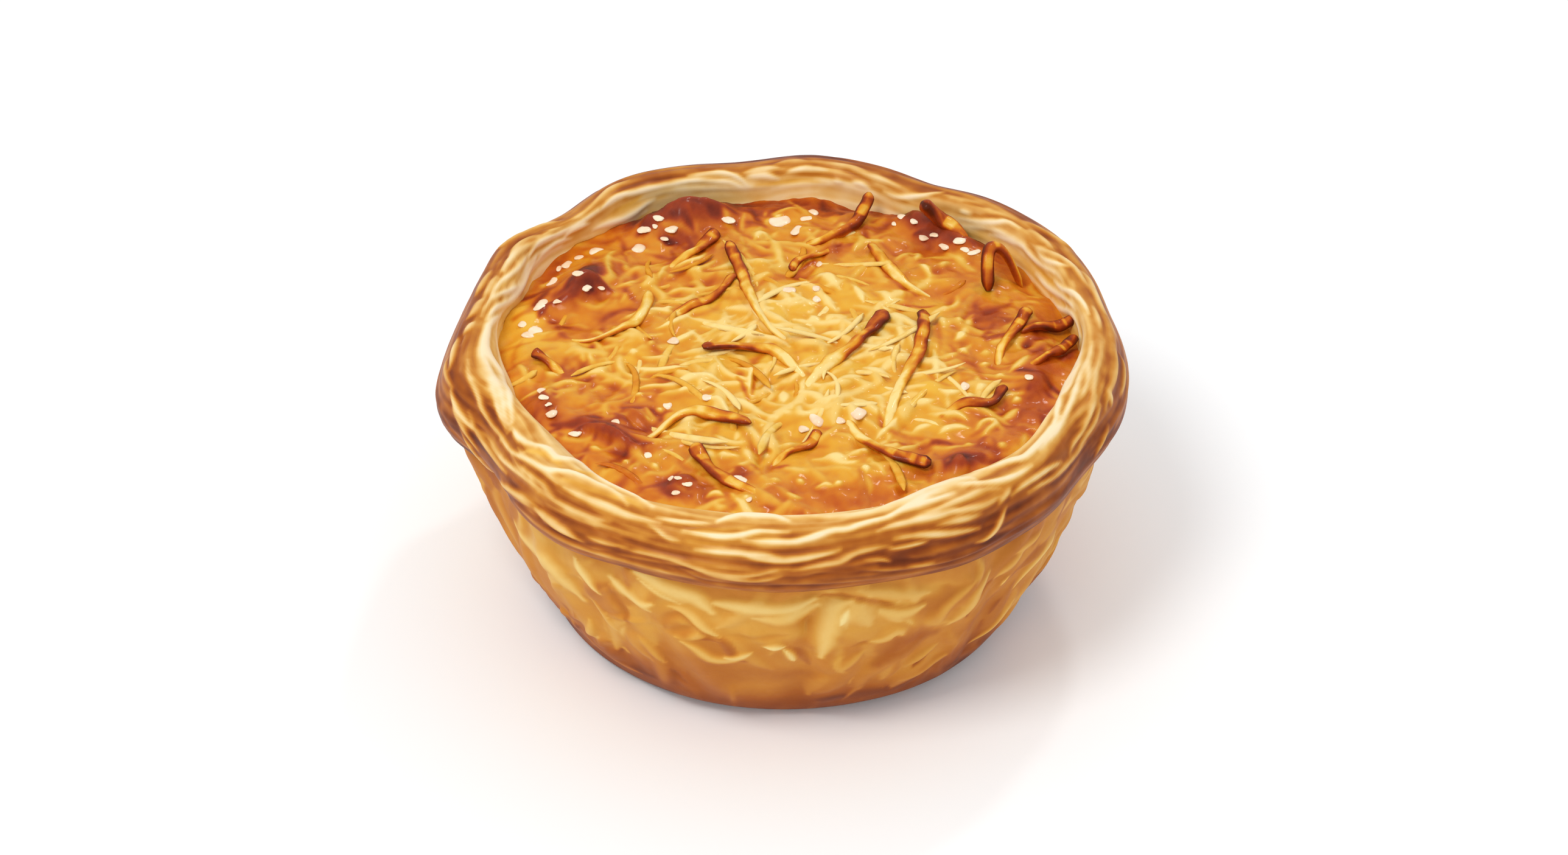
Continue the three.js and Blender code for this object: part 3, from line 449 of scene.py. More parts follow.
# Soft zones of colour in the custard
CUSTARD_ZONES = [
    (4.5, 0, 0.62, 845, 525, 880, 500, 900, 450, 930, 415, 975, 402, 1030, 385),
    (3.0, 0, 0.3, 905, 478, 925, 465, 950, 432, 985, 425, 1000, 440),
    (3.5, 0, 0.7, 1045, 385, 1080, 370, 1120, 385, 1135, 410),
    (5.0, 0.1, 0.82, 1060, 385, 1085, 350, 1130, 340, 1170, 345, 1200, 352),
    (3.0, 0, 0.6, 1130, 400, 1150, 380, 1175, 370),
    (3.0, 0, 0.55, 1190, 360, 1230, 368, 1260, 375),
    (5.0, 0, 0.5, 1020, 430, 1035, 470, 1020, 500),
    (5.0, 0, 0.58, 900, 520, 935, 545, 970, 555, 1010, 575),
    (4.0, 0, 0.55, 930, 590, 935, 630, 945, 610, 925, 640),
    (5.0, 0, 0.5, 1120, 440, 1160, 455, 1190, 470),
    (4.0, 0, 0.55, 1200, 400, 1240, 410, 1270, 400),
    (5.0, 0, 0.62, 1230, 335, 1300, 340, 1370, 340, 1430, 345),
    (3.0, 0, 0.68, 1380, 345, 1400, 352, 1380, 355, 1340, 350),
    (4.0, 0, 0.58, 1330, 400, 1380, 412, 1420, 400),
    (4.5, 0.5, 0.85, 1465, 352, 1500, 362, 1540, 382, 1575, 392, 1610, 405),
    (4.0, 0, 0.55, 1440, 380, 1480, 410, 1520, 430, 1560, 440),
    (5.0, 0, 0.5, 1440, 430, 1470, 470, 1530, 485, 1570, 470),
    (5.0, 0, 0.55, 1620, 470, 1660, 440, 1680, 470),
    (4.0, 0, 0.45, 1680, 480, 1710, 510, 1740, 530),
    (5.0, 0, 0.5, 1590, 500, 1600, 530, 1620, 560),
    (5.0, 0, 0.48, 1600, 590, 1560, 600, 1590, 620),
    (6.0, 0, 0.55, 1660, 600, 1690, 620, 1700, 660, 1690, 700),
    (7.0, 0, 0.58, 1640, 740, 1680, 700, 1705, 650, 1720, 610),
    (5.0, 0, 0.5, 1560, 690, 1600, 690, 1640, 680),
    (5.0, 0, 0.55, 1560, 730, 1600, 740, 1650, 735),
    (5.0, 0, 0.42, 1440, 790, 1480, 780, 1520, 770),
    (6.0, 0, 0.45, 1250, 800, 1300, 820, 1360, 815, 1420, 820),
    (5.0, 0, 0.6, 1100, 800, 1150, 810, 1200, 815),
    (5.0, 0, 0.55, 1000, 740, 1040, 760, 1080, 790),
    (6.0, 0, 0.52, 900, 720, 950, 740, 1000, 760),
    (6.0, 0, 0.55, 860, 640, 880, 680, 880, 710),
    (5.0, 0, 0.35, 1060, 760, 1120, 760, 1100, 780),
    (5.0, 0, 0.4, 1000, 620, 1030, 640, 1010, 600),
    (5.0, 0, 0.38, 1080, 650, 1140, 650, 1180, 640),
    (6.0, 0, 0.24, 1200, 620, 1250, 610, 1270, 650),
    (7.0, 0, 0.12, 1270, 480, 1340, 500, 1400, 520, 1450, 540),
    (7.0, 0, 0.12, 1440, 540, 1500, 560, 1560, 540),
    (7.0, 0, 0.15, 1300, 660, 1370, 680, 1430, 660),
    (6.0, 0, 0.15, 1440, 620, 1400, 640),
]
# Browned marks, ridges and blisters of the custard
CUSTARD_BROWNS = [
    (2.6, 0.3, 0.8, 945, 455, 965, 462, 975, 482),
    (2.2, 0.7, 0.93, 905, 500, 925, 494, 945, 487, 953, 470, 950, 455, 970, 450, 990, 468, 1008, 482),
    (1.6, 0.3, 0.88, 885, 522, 895, 507, 905, 496),
    (1.4, -0.2, 0.6, 1025, 475, 1035, 490, 1046, 500),
    (1.6, 0.1, 0.66, 915, 535, 925, 555, 940, 562),
    (1.3, 0.1, 0.62, 925, 600, 930, 625, 945, 600),
    (2.0, 0.3, 0.9, 1050, 385, 1060, 360, 1080, 342, 1100, 338),
    (1.5, 0.5, 0.92, 1095, 338, 1108, 322, 1125, 315, 1150, 320, 1175, 333, 1200, 347, 1215, 355),
    (1.2, 0.1, 0.78, 1120, 420, 1135, 405, 1130, 385),
    (2.0, -0.1, 0.85, 1110, 400, 1095, 395, 1080, 390),
    (1.4, 0.3, 0.72, 1210, 418, 1225, 420),
    (0.8, 0.2, 0.7, 1185, 408, 1200, 410, 1213, 405),
    (1.4, 0.1, 0.68, 1225, 365, 1250, 370, 1262, 378),
    (1.0, 0.3, 0.8, 1300, 450, 1320, 442, 1330, 432, 1345, 425),
    (0.8, 0.2, 0.66, 1345, 420, 1370, 410, 1395, 405),
    (1.2, 0.1, 0.68, 1385, 405, 1410, 400),
    (2.2, 0.6, 0.92, 1478, 352, 1495, 360, 1520, 372),
    (1.6, 0.4, 0.92, 1500, 388, 1525, 390, 1545, 392),
    (1.8, 0.3, 0.85, 1550, 375, 1580, 395, 1610, 402, 1635, 410),
    # Brown edge of a shred, partly its painted shadow
    (1.2, -0.1, 0.6, 1430, 400, 1440, 425, 1455, 450, 1480, 475, 1510, 490),
    (1.0, -0.1, 0.55, 1475, 498, 1510, 505, 1540, 500),
    (1.5, 0.1, 0.66, 1600, 500, 1606, 520, 1590, 530),
    (1.4, 0.1, 0.68, 1610, 560, 1625, 545, 1630, 530, 1640, 522),
    (1.4, 0.4, 0.78, 1615, 565, 1635, 555, 1655, 550, 1668, 545),
    (1.8, 0.4, 0.84, 1700, 580, 1712, 585, 1722, 595),
    (0.8, 0.1, 0.6, 1730, 555, 1735, 570),
    (1.6, 0.4, 0.82, 1740, 590, 1755, 585, 1768, 570),
    (2.6, 0.3, 0.78, 1690, 640, 1705, 625, 1715, 610),
    (1.4, 0.2, 0.72, 1690, 655, 1710, 640),
    (0.9, 0.3, 0.8, 1545, 688, 1552, 684),
    (1.2, 0.2, 0.7, 1603, 735, 1612, 722, 1620, 712),
    (1.6, 0.1, 0.75, 1520, 728, 1545, 727, 1570, 732),
    (3.4, 0.8, 0.9, 1562, 762, 1580, 762, 1595, 758),
    (1.6, 0.2, 0.84, 1600, 750, 1625, 748),
    (1.2, 0.1, 0.6, 1455, 712, 1475, 715),
    (1.2, 0.3, 0.85, 935, 718, 945, 708, 960, 700),
    (1.6, 0.8, 0.92, 950, 705, 970, 702, 990, 707, 1010, 715, 1030, 728, 1045, 737, 1060, 735, 1075, 730),
    (1.4, 0.4, 0.72, 1010, 680, 1020, 690, 1035, 705),
    (1.6, 0.5, 0.7, 1032, 672, 1045, 680, 1060, 695, 1065, 710),
    (1.0, 0.2, 0.62, 1050, 710, 1070, 715),
    (1.8, 0.3, 0.84, 890, 645, 893, 660, 900, 680),
    (1.3, 0.3, 0.8, 862, 692, 870, 700, 880, 715),
    (1.6, 0.1, 0.7, 918, 712, 922, 730),
    (2.2, 0.5, 0.8, 1105, 790, 1125, 785, 1145, 790),
    (1.6, 0.3, 0.72, 1130, 805, 1160, 800),
    (1.6, 0.2, 0.72, 1205, 770, 1225, 775),
    (1.2, 0.1, 0.6, 1260, 740, 1275, 750),
    (1.0, 0.1, 0.66, 1270, 770, 1300, 762),
    (0.8, -0.1, 0.55, 1210, 620, 1222, 640, 1228, 655, 1235, 665),
    (0.7, -0.1, 0.6, 1240, 612, 1238, 635, 1236, 655),
]
# Pale shreds that lie in the custard
PALE_SHREDS = [
    (1.1, 0.35, 0.22, 1012, 412, 1000, 425, 997, 440, 1003, 460),
    (0.9, 0.3, 0.22, 1027, 435, 1030, 450),
    (0.8, 0.3, 0.18, 1103, 434, 1090, 447, 1080, 465),
    (1.1, 0.35, 0.25, 972, 548, 990, 552, 1005, 562, 1025, 560, 1042, 548),
    (1.4, 0.3, 0.12, 882, 580, 897, 590, 905, 602),
    (1.2, 0.3, 0.28, 850, 600, 865, 615, 873, 630),
    (1.3, 0.35, 0.2, 897, 611, 910, 620, 922, 618),
    (2.0, 0.2, 0.2, 930, 580, 950, 572, 980, 582, 1000, 580),
    (1.6, 0.3, 0.15, 965, 615, 985, 610, 1000, 600),
    (1.3, 0.35, 0.06, 1035, 604, 1060, 612, 1085, 613, 1110, 606, 1130, 600),
    (1.0, 0.3, 0.14, 1055, 588, 1080, 590, 1105, 582),
    (1.6, 0.3, 0.14, 1035, 580, 1050, 575),
    (1.0, 0.3, 0.18, 1067, 570, 1075, 558),
    (1.1, 0.35, 0.1, 1092, 509, 1108, 504),
    (1.4, 0.3, 0.16, 1100, 500, 1115, 495, 1120, 505),
    (1.4, 0.3, 0.18, 1135, 465, 1150, 472, 1155, 485),
    (1.2, 0.35, 0.16, 1105, 442, 1130, 432, 1150, 422, 1160, 412),
    (1.0, 0.3, 0.2, 1130, 448, 1155, 440, 1180, 425),
    (0.9, 0.3, 0.2, 1098, 455, 1110, 450),
    (1.6, 0.25, 0.15, 1105, 490, 1130, 497, 1140, 480),
    (1.3, 0.35, 0.05, 1100, 565, 1115, 560, 1130, 548, 1145, 540),
    (1.2, 0.35, 0.1, 1080, 540, 1100, 528, 1120, 520, 1140, 505),
    (1.4, 0.35, 0.04, 1185, 530, 1200, 545, 1225, 555, 1255, 553, 1280, 565, 1300, 575),
    (1.1, 0.3, 0.14, 1150, 555, 1170, 545, 1185, 535),
    (1.5, 0.3, 0.14, 1265, 465, 1275, 480, 1290, 490, 1300, 500),
    (1.6, 0.25, 0.18, 1265, 390, 1275, 410, 1280, 430, 1285, 445),
    (1.3, 0.3, 0.14, 1355, 485, 1365, 505, 1375, 515),
    (1.5, 0.35, 0.06, 1333, 520, 1342, 535),
    (1.8, 0.25, 0.14, 1300, 540, 1320, 545, 1340, 545),
    (1.8, 0.3, 0.1, 1350, 550, 1375, 550, 1385, 560),
    (1.3, 0.3, 0.14, 1250, 510, 1275, 525, 1300, 535),
    (1.2, 0.3, 0.18, 1250, 530, 1270, 540, 1290, 550, 1300, 570),
    (1.2, 0.35, 0.05, 1403, 470, 1412, 485, 1420, 500),
    (1.6, 0.3, 0.12, 1440, 480, 1455, 485, 1460, 500),
    (1.6, 0.3, 0.14, 1450, 520, 1475, 530, 1480, 545),
    (1.6, 0.25, 0.16, 1400, 540, 1430, 535, 1450, 530),
    (1.6, 0.3, 0.08, 1400, 590, 1430, 578, 1455, 572, 1470, 580),
    (1.6, 0.35, 0.06, 1420, 605, 1440, 615, 1465, 622),
    (1.5, 0.3, 0.14, 1400, 620, 1420, 635, 1440, 640),
    (1.4, 0.3, 0.1, 1340, 665, 1360, 660, 1390, 650, 1420, 643),
    (1.3, 0.35, 0.08, 1535, 575, 1537, 600, 1540, 625),
    (1.5, 0.3, 0.12, 1500, 665, 1520, 660, 1535, 655),
    (1.3, 0.35, 0.06, 1545, 640, 1560, 650, 1580, 640),
    (1.2, 0.35, 0.14, 1430, 650, 1445, 660, 1450, 675),
    (1.2, 0.3, 0.16, 1450, 685, 1465, 690),
    (1.1, 0.35, 0.06, 1440, 720, 1455, 705, 1468, 698, 1472, 688),
    (1.5, 0.3, 0.12, 1500, 712, 1515, 702, 1530, 695),
    (1.6, 0.35, 0.08, 1545, 712, 1570, 700, 1595, 705),
    (1.2, 0.3, 0.18, 1475, 738, 1495, 735, 1515, 730),
    (1.0, 0.3, 0.2, 1280, 735, 1295, 728, 1310, 725),
    (1.8, 0.35, 0.12, 1350, 757, 1372, 754, 1395, 755),
    (1.5, 0.4, 0.12, 1420, 765, 1425, 780),
    (1.0, 0.35, 0.1, 1310, 788, 1325, 795),
    (1.0, 0.35, 0.12, 1340, 802, 1360, 797, 1372, 800),
    (1.0, 0.35, 0.1, 1372, 797, 1385, 788),
    (1.0, 0.3, 0.2, 1265, 787, 1285, 790),
    (1.2, 0.3, 0.2, 1290, 810, 1310, 820, 1320, 820),
    (1.0, 0.35, 0.06, 1155, 655, 1170, 656, 1185, 662, 1192, 678, 1205, 692),
    (1.2, 0.35, 0.08, 1116, 645, 1130, 638, 1142, 632),
    (1.4, 0.35, 0.06, 1050, 638, 1080, 635, 1110, 632, 1135, 622, 1155, 615, 1170, 620, 1185, 632),
    (1.1, 0.3, 0.14, 1045, 650, 1060, 645),
    (1.5, 0.3, 0.1, 1190, 650, 1210, 660, 1230, 672, 1250, 685, 1280, 690),
    (1.8, 0.4, 0.03, 1258, 635, 1266, 650),
    (1.8, 0.4, 0.03, 1286, 645, 1290, 665),
    (0.8, 0.35, 0.06, 1235, 603, 1233, 625, 1231, 650),
    (1.2, 0.35, 0.08, 1080, 672, 1090, 682),
    (1.0, 0.35, 0.1, 1060, 692, 1070, 697),
    (1.2, 0.3, 0.18, 1175, 715, 1190, 728, 1210, 732, 1230, 728),
    (1.2, 0.3, 0.18, 1130, 725, 1142, 718, 1145, 735),
    (1.1, 0.3, 0.25, 1090, 715, 1110, 705, 1130, 700, 1145, 695),
    (1.2, 0.3, 0.16, 1180, 747, 1197, 752),
    (1.4, 0.35, 0.1, 1072, 768, 1085, 766),
    (0.9, 0.35, 0.12, 1025, 758, 1035, 765),
    (1.1, 0.3, 0.18, 970, 735, 990, 742),
    (1.4, 0.35, 0.12, 1162, 817, 1180, 812, 1188, 818),
    (1.0, 0.35, 0.12, 1223, 818, 1232, 822),
    (1.3, 0.35, 0.1, 1253, 754, 1266, 753),
    (1.5, 0.35, 0.05, 1570, 560, 1580, 552, 1585, 543),
    (1.8, 0.3, 0.1, 1575, 575, 1592, 582),
    (1.4, 0.3, 0.16, 1545, 520, 1550, 540),
    (1.4, 0.3, 0.2, 1570, 525, 1585, 530),
    (0.9, 0.3, 0.2, 1470, 430, 1485, 418, 1500, 412),
    (1.3, 0.35, 0.14, 1498, 420, 1512, 424, 1505, 432),
    (1.2, 0.35, 0.14, 1510, 435, 1520, 448, 1530, 460),
    (1.1, 0.3, 0.2, 1545, 438, 1550, 430, 1560, 426),
    (1.2, 0.3, 0.2, 1625, 565, 1640, 562, 1655, 557),
    (1.2, 0.3, 0.2, 1612, 582, 1630, 578),
    (0.9, 0.35, 0.04, 1612, 600, 1630, 599),
    (1.6, 0.3, 0.14, 1660, 610, 1675, 595, 1690, 580),
    (1.4, 0.3, 0.12, 1605, 640, 1620, 628),
    (1.2, 0.3, 0.16, 1638, 622, 1650, 612),
    (1.3, 0.35, 0.1, 1588, 650, 1603, 650),
    (1.1, 0.35, 0.12, 1665, 660, 1680, 652),
    (1.6, 0.3, 0.16, 1650, 690, 1665, 680, 1675, 670),
    (1.1, 0.35, 0.12, 1605, 705, 1615, 690, 1632, 687, 1635, 700, 1622, 712, 1617, 720),
    (1.1, 0.3, 0.18, 1590, 728, 1594, 738),
    (1.4, 0.3, 0.2, 1640, 735, 1655, 725),
    # A painted highlight streak along a ridge, laid as a thin pale shred
    (0.6, 0.35, 0.02, 975, 699, 990, 701, 1003, 708, 1015, 714, 1028, 717, 1037, 727),
    (1.4, 0.35, 0.14, 1240, 395, 1255, 380, 1262, 395),
    (1.8, 0.3, 0.14, 1275, 355, 1283, 365),
]
# Wet crumbs at bright spots, their pale colour partly a painted highlight: pixels of the photograph, half
# length and half width in its pixels, heading
CRUMBS_AT_GLINTS = [
    (1058, 379, 10, 6, 20), (1083, 359, 7, 5, 50), (1077, 372, 7, 3, 80), (1051, 408, 10, 7, 60),
    (1194, 363, 13, 5, -35), (1283, 364, 15, 10, 10), (1336, 350, 9, 5, 80), (1325, 360, 9, 5, 10),
    (1311, 382, 12, 5, 55), (1103, 377, 9, 7, 60), (1093, 392, 5, 4, 50), (1483, 360, 7, 4, 0),
    (1503, 368, 6, 5, 0), (1470, 368, 5, 3, -60), (1518, 396, 8, 5, -20), (1536, 394, 6, 4, 0),
    (1552, 407, 8, 5, -40), (1577, 400, 8, 6, -50), (1587, 410, 7, 4, -40), (1602, 416, 10, 4, 20),
    (980, 412, 11, 5, 20), (955, 422, 9, 4, 0), (934, 435, 9, 5, 50), (920, 441, 7, 3, 60),
    (911, 464, 12, 5, 55), (890, 502, 15, 5, 50), (950, 456, 8, 4, 10), (962, 476, 7, 6, 40),
    (988, 476, 8, 3, -50), (918, 497, 8, 3, 20), (861, 534, 7, 5, 30), (880, 541, 10, 7, 0),
    (870, 551, 7, 6, 60), (892, 643, 7, 4, 0), (894, 654, 7, 4, -10), (901, 667, 5, 3, 30),
    (907, 679, 8, 6, -30), (946, 716, 9, 4, 10), (1105, 786, 6, 3, 50), (1117, 790, 6, 3, 0),
    (1130, 797, 7, 4, -10), (1112, 810, 5, 4, -60), (1216, 789, 12, 6, -20), (1230, 822, 5, 4, 0),
    (1380, 692, 7, 6, 50), (1410, 683, 11, 8, 0), (1343, 690, 8, 10, 20), (1320, 705, 7, 5, 30),
    (1587, 637, 6, 6, 0), (1098, 668, 6, 5, 0), (1298, 478, 9, 6, 0), (1342, 478, 5, 5, 0),
    (1343, 492, 6, 5, 0), (1348, 434, 5, 4, 0), (1662, 551, 4, 4, 0), (1691, 622, 6, 4, 40),
    (1163, 655, 7, 5, 0), (1107, 564, 8, 5, 30), (1065, 748, 7, 4, 20), (1013, 693, 6, 4, -50),
]

# Browning of the rim at the hem, how it changes on the way up to the inside (start and end as shares of the
# way, change), and places that differ: azimuth, width, change, share where it sets in, share where it ends;
# some of these paint light or shade, as marked
HEM_TONE = 0.74
# The last step browns the inner side's foot where it meets the custard: partly a caramel line, partly painted
# shade in that crease
RIM_TONE_STEPS = [(0.05, 0.25, -0.08), (0.38, 0.58, -0.2), (0.57, 0.74, -0.32), (0.87, 0.97, 0.24)]
FROM_HEM, TO_INSIDE = (-2, -1), (2, 3)
RIM_TONE_PLACES = [
    (312, 22, 0.16, FROM_HEM, (0.35, 0.75)), (90, 65, 0.3, (0.45, 0.55), (0.7, 0.82)),
    (90, 55, -0.06, (0.74, 0.84), TO_INSIDE), (185, 45, 0.03, (0.62, 0.76), TO_INSIDE),
    # These two rows lighten the inside at the back, which lies in shade: painted light
    (90, 50, -0.1, (0.8, 0.9), TO_INSIDE), (155, 25, -0.1, (0.8, 0.9), TO_INSIDE),
    # The first row here lightens the hem's crease at the front left, which lies in shade: painted light
    (228, 38, -0.2, FROM_HEM, (0.1, 0.4)), (270, 55, -0.14, (0.62, 0.76), TO_INSIDE),
    (190, 28, 0.15, FROM_HEM, (0.5, 0.85)), (150, 20, 0.1, FROM_HEM, (0.45, 0.75)),
]
# Browner sides of the wall: azimuth, width in degrees, browning
WALL_TONES = [(318, 18, 0.14), (200, 18, 0.06), (240, 14, 0.06)]

# Laid sheets, in millimetres: lengths round the turn are measured at these radii
RIM_ROUND = TURN * 38
WALL_ROUND = TURN * 33
RIM_PITCH = 0.12
WALL_PITCH = 0.2
RIM_BLUR = 0.17
WALL_BLUR = 0.18
CUSTARD_BLUR = 0.16
RIM_STRANDS = 560
RIM_SEED = 3
WALL_FLAKES = 320
WALL_SEED = 4
RIM_COLUMNS = 1000
RIM_ROWS = 88
WALL_COLUMNS = 720
WALL_ROWS = 84

# The filling's surface, which reaches a little past the mouth
FILLING_CELLS = 290
FILLING_TUCK = 0.35
RASTER_PITCH = 0.125
RASTER_HALF = 36
STRANDS = 460
GAPS = 240
STRAND_REACH = 33.5
STRAND_SEED = 11
STRAND_HEADINGS = [8, 40, 125, 75, 155]
TOO_BROWN = 0.72

# Large shreds: how far they stand off the custard, how deep the far end sinks, browning of their pale dabs,
# which are painted highlights
SHRED_STATIONS = 44
SHRED_SIDES = 14
SHRED_GAP = 0.12
SHRED_DIVE = 0.42
HIGHLIGHT_DAB_TONE = 0.05

# Wet crumbs: their real half sizes against those in the photograph, and how the custard leans to the view
CRUMB_STATIONS = 10
CRUMB_SIDES = 14
CRUMB_SEED = 8
CRUMB_SIZES = (1.25, 1.8, 0.5)
CRUMB_LEAN = 10

# Small loose shreds: sizes in metres, then shapes as a share of the length, a bow and a rise
STREWN_SIZES = {"Length": 0.0085, "Width": 0.00095, "Spacing": 0.0037, "Sink": 0.00016, "Seed": 5}
STREWN_SHAPES = [(1, 0.4, 0.14), (0.7, -0.5, 0.2), (1.3, 0.25, 0.1), (1.1, -0.5, 0.12), (0.5, 0.3, 0.2)]
BED_CELLS = 80
BED_RADIUS = 31


def smooth(start, end, value):
    """A soft step from 0 at the start to 1 at the end."""
    share = np.clip((value - start) / (end - start), 0, 1)
    return share * share * (3 - 2 * share)


def mixed(first, second, share):
    """A value between two others."""
    return first + (second - first) * share


def bell(azimuth, centre, width):
    """A bell curve round the turn; azimuths in degrees."""
    turn = (azimuth - centre + 180) % 360 - 180
    return np.exp(-((turn / width) ** 2))


def lobe_sum(rows, azimuth, column):
    """The sum of bell curves from rows that start with an azimuth and a width."""
    return sum(row[column] * bell(azimuth, row[0], row[1]) for row in rows)


def soft_noise(x, y, seed, cells=NOISE_CELLS):
    """A smooth random field, about -1 to 1, with features one unit wide; along x it repeats after `cells`."""
    rng = np.random.default_rng(seed)
    angles = rng.uniform(0, TURN, (NOISE_CELLS, NOISE_CELLS))
    column, row = np.floor(x).astype(int), np.floor(y).astype(int)
    fx, fy = x - column, y - row
    total = 0
    weight_x = fx * fx * fx * (fx * (6 * fx - 15) + 10)
    weight_y = fy * fy * fy * (fy * (6 * fy - 15) + 10)
    for step_x in (0, 1):
        for step_y in (0, 1):
            angle = angles[(column + step_x) % cells, (row + step_y) % NOISE_CELLS]
            slope = np.cos(angle) * (fx - step_x) + np.sin(angle) * (fy - step_y)
            part_x = weight_x if step_x else 1 - weight_x
            part_y = weight_y if step_y else 1 - weight_y
            total = total + slope * part_x * part_y
    return total * 1.5


def round_noise(azimuth, across, cells, rows, seed):
    """Noise on a band that closes round the turn: `cells` features round it and `rows` across it."""
    return soft_noise(azimuth / 360 * cells, across * rows + 17.3, seed, cells)


def blotches(x, y, size, seed):
    """Noise in the plane with features of two sizes."""
    return soft_noise(x / size + 40, y / size + 40, seed) + 0.5 * soft_noise(
        x / size * 2.1 + 71, y / size * 2.1 + 13, seed + 1)


def mound(x, y, row):
    """An oval bell from a row of centre, two half sizes and a heading."""
    heading = math.radians(row[4])
    along = ((x - row[0]) * math.cos(heading) + (y - row[1]) * math.sin(heading)) / row[2]
    across = ((y - row[1]) * math.cos(heading) - (x - row[0]) * math.sin(heading)) / row[3]
    return np.exp(-(along * along + across * across))


def spline(points, count):
    """Even steps along a smooth curve through the points, its outward direction, and the way along it."""
    points = np.array(points, float)
    padded = np.vstack([points[0], points, points[-1]])
    fine = []
    for start in range(len(points) - 1):
        before, first, second, after = padded[start:start + 4]
        share = np.linspace(0, 1, 24, endpoint=False)[:, None]
        bend = (second - before) / 2
        leave = (after - first) / 2
        fine.append((2 * share**3 - 3 * share**2 + 1) * first + (share**3 - 2 * share**2 + share) * bend
                    + (3 * share**2 - 2 * share**3) * second + (share**3 - share**2) * leave)
    fine = np.vstack(fine + [points[-1:]])
    travelled = np.concatenate([[0], np.cumsum(np.hypot(*np.diff(fine, axis=0).T))])
    even = np.linspace(0, travelled[-1], count)
    curve = np.stack([np.interp(even, travelled, fine[:, axis]) for axis in (0, 1)], 1)
    along = np.gradient(curve, axis=0)
    along /= np.hypot(along[:, :1], along[:, 1:]) + 1e-9
    return curve, np.stack([along[:, 1], -along[:, 0]], 1), even


def linked(name, data):
    """A new object in the scene."""
    obj = bpy.data.objects.new(name, data)
    bpy.context.scene.collection.objects.link(obj)
    return obj


def mesh_object(name, points, faces, fields):
    """An object with a mesh of the given points in millimetres, and one float attribute for each field."""
    mesh = bpy.data.meshes.new(name)
    mesh.from_pydata(np.asarray(points) * MM, [], faces)
    for field, values in fields.items():
        attribute = mesh.attributes.new(field, "FLOAT", "POINT")
        attribute.data.foreach_set("value", np.asarray(values, np.float32).ravel())
    mesh.shade_smooth()
    mesh.validate()
    return linked(name, mesh)


def joined_object(name, blocks, stations, sides, fields):
    """One object of closed lumps, each with its rows of points and then its two end points."""
    size = stations * sides + 2
    faces = [tuple(number * size + corner for corner in face)
             for number in range(len(blocks)) for face in capped_faces(stations, sides)]
    return mesh_object(name, np.vstack(blocks), faces, fields)


def ring_faces(rows, columns, closed_loop):
    """Quads between rows of points that close round the turn."""
    last = rows if closed_loop else rows - 1
    row, column = np.meshgrid(np.arange(last), np.arange(columns), indexing="ij")
    below, above = row * columns, (row + 1) % rows * columns
    beside = (column + 1) % columns
    return np.stack([below + column, below + beside, above + beside, above + column], -1).reshape(-1, 4)


def capped_faces(rows, columns):
    """Quads between rows of points, and fans that close both ends to the two points after the rows."""
    faces = ring_faces(rows, columns, False).tolist()
    low, high = rows * columns, rows * columns + 1
    top = (rows - 1) * columns
    for column in range(columns):
        beside = (column + 1) % columns
        faces.append((beside, column, low))
        faces.append((top + column, top + beside, high))
    return faces


def grid_faces(cells):
    """Quads of a square grid."""
    side = cells + 1
    column, row = np.meshgrid(np.arange(cells), np.arange(cells), indexing="ij")
    corner = column * side + row
    return np.stack([corner, corner + side, corner + side + 1, corner + 1], -1).reshape(-1, 4).tolist()


def direction(angle):
    """A unit step in the plane."""
    return np.array([math.cos(angle), math.sin(angle)])


def turned(radius, height, azimuth):
    """Points at a radius and a height, turned round the upright axis."""
    angle = np.radians(azimuth)
    return np.stack([radius * np.cos(angle), radius * np.sin(angle), height + 0 * angle], -1)


def mouth_shift(azimuth, height):
    """How far the case's inner side lies out of round."""
    rim = lobe_sum(RIM_LOBES, azimuth, 2) * smooth(*LOBE_HEIGHTS, height)
    return rim - lobe_sum(LIP_BULGES, azimuth, 2) * smooth(*LIP_HEIGHTS, height)


def hem_drop(azimuth):
    """How far the rim's lower edge wanders up and down."""
    return bell(azimuth, 270, 50) + 0.7 * round_noise(azimuth, 0 * azimuth, 13, 1, 5)


def rim_points(azimuth, outline, outward, share, relief):
    """The rim's surface: the outline turned round, with its lobes, its hem's sag and a relief."""
    radius, height = outline[..., 0], outline[..., 1]
    inward, hem_part = smooth(*LIP_SHARES, share), 1 - smooth(*SAG_SHARES, share)
    out = radius + lobe_sum(RIM_LOBES, azimuth, 2) - lobe_sum(LIP_BULGES, azimuth, 2) * inward
    lift = lobe_sum(RIM_LOBES, azimuth, 3) * smooth(*LIFT_HEIGHTS, height)
    up = height + hem_drop(azimuth) * hem_part + lift
    return turned(out + relief * outward[..., 0], up + relief * outward[..., 1], azimuth)


def rim_tone(azimuth, share):
    """Browning of the rim: cream inside, tan over the crest, brown towards the hem, with painted light and
    shade in places.
    """
    steps = sum(change * smooth(start, end, share) for start, end, change in RIM_TONE_STEPS)
    places = sum(change * bell(azimuth, centre, width) * smooth(*rise, share) * (1 - smooth(*fall, share))
                 for centre, width, change, rise, fall in RIM_TONE_PLACES)
    return HEM_TONE + steps + places


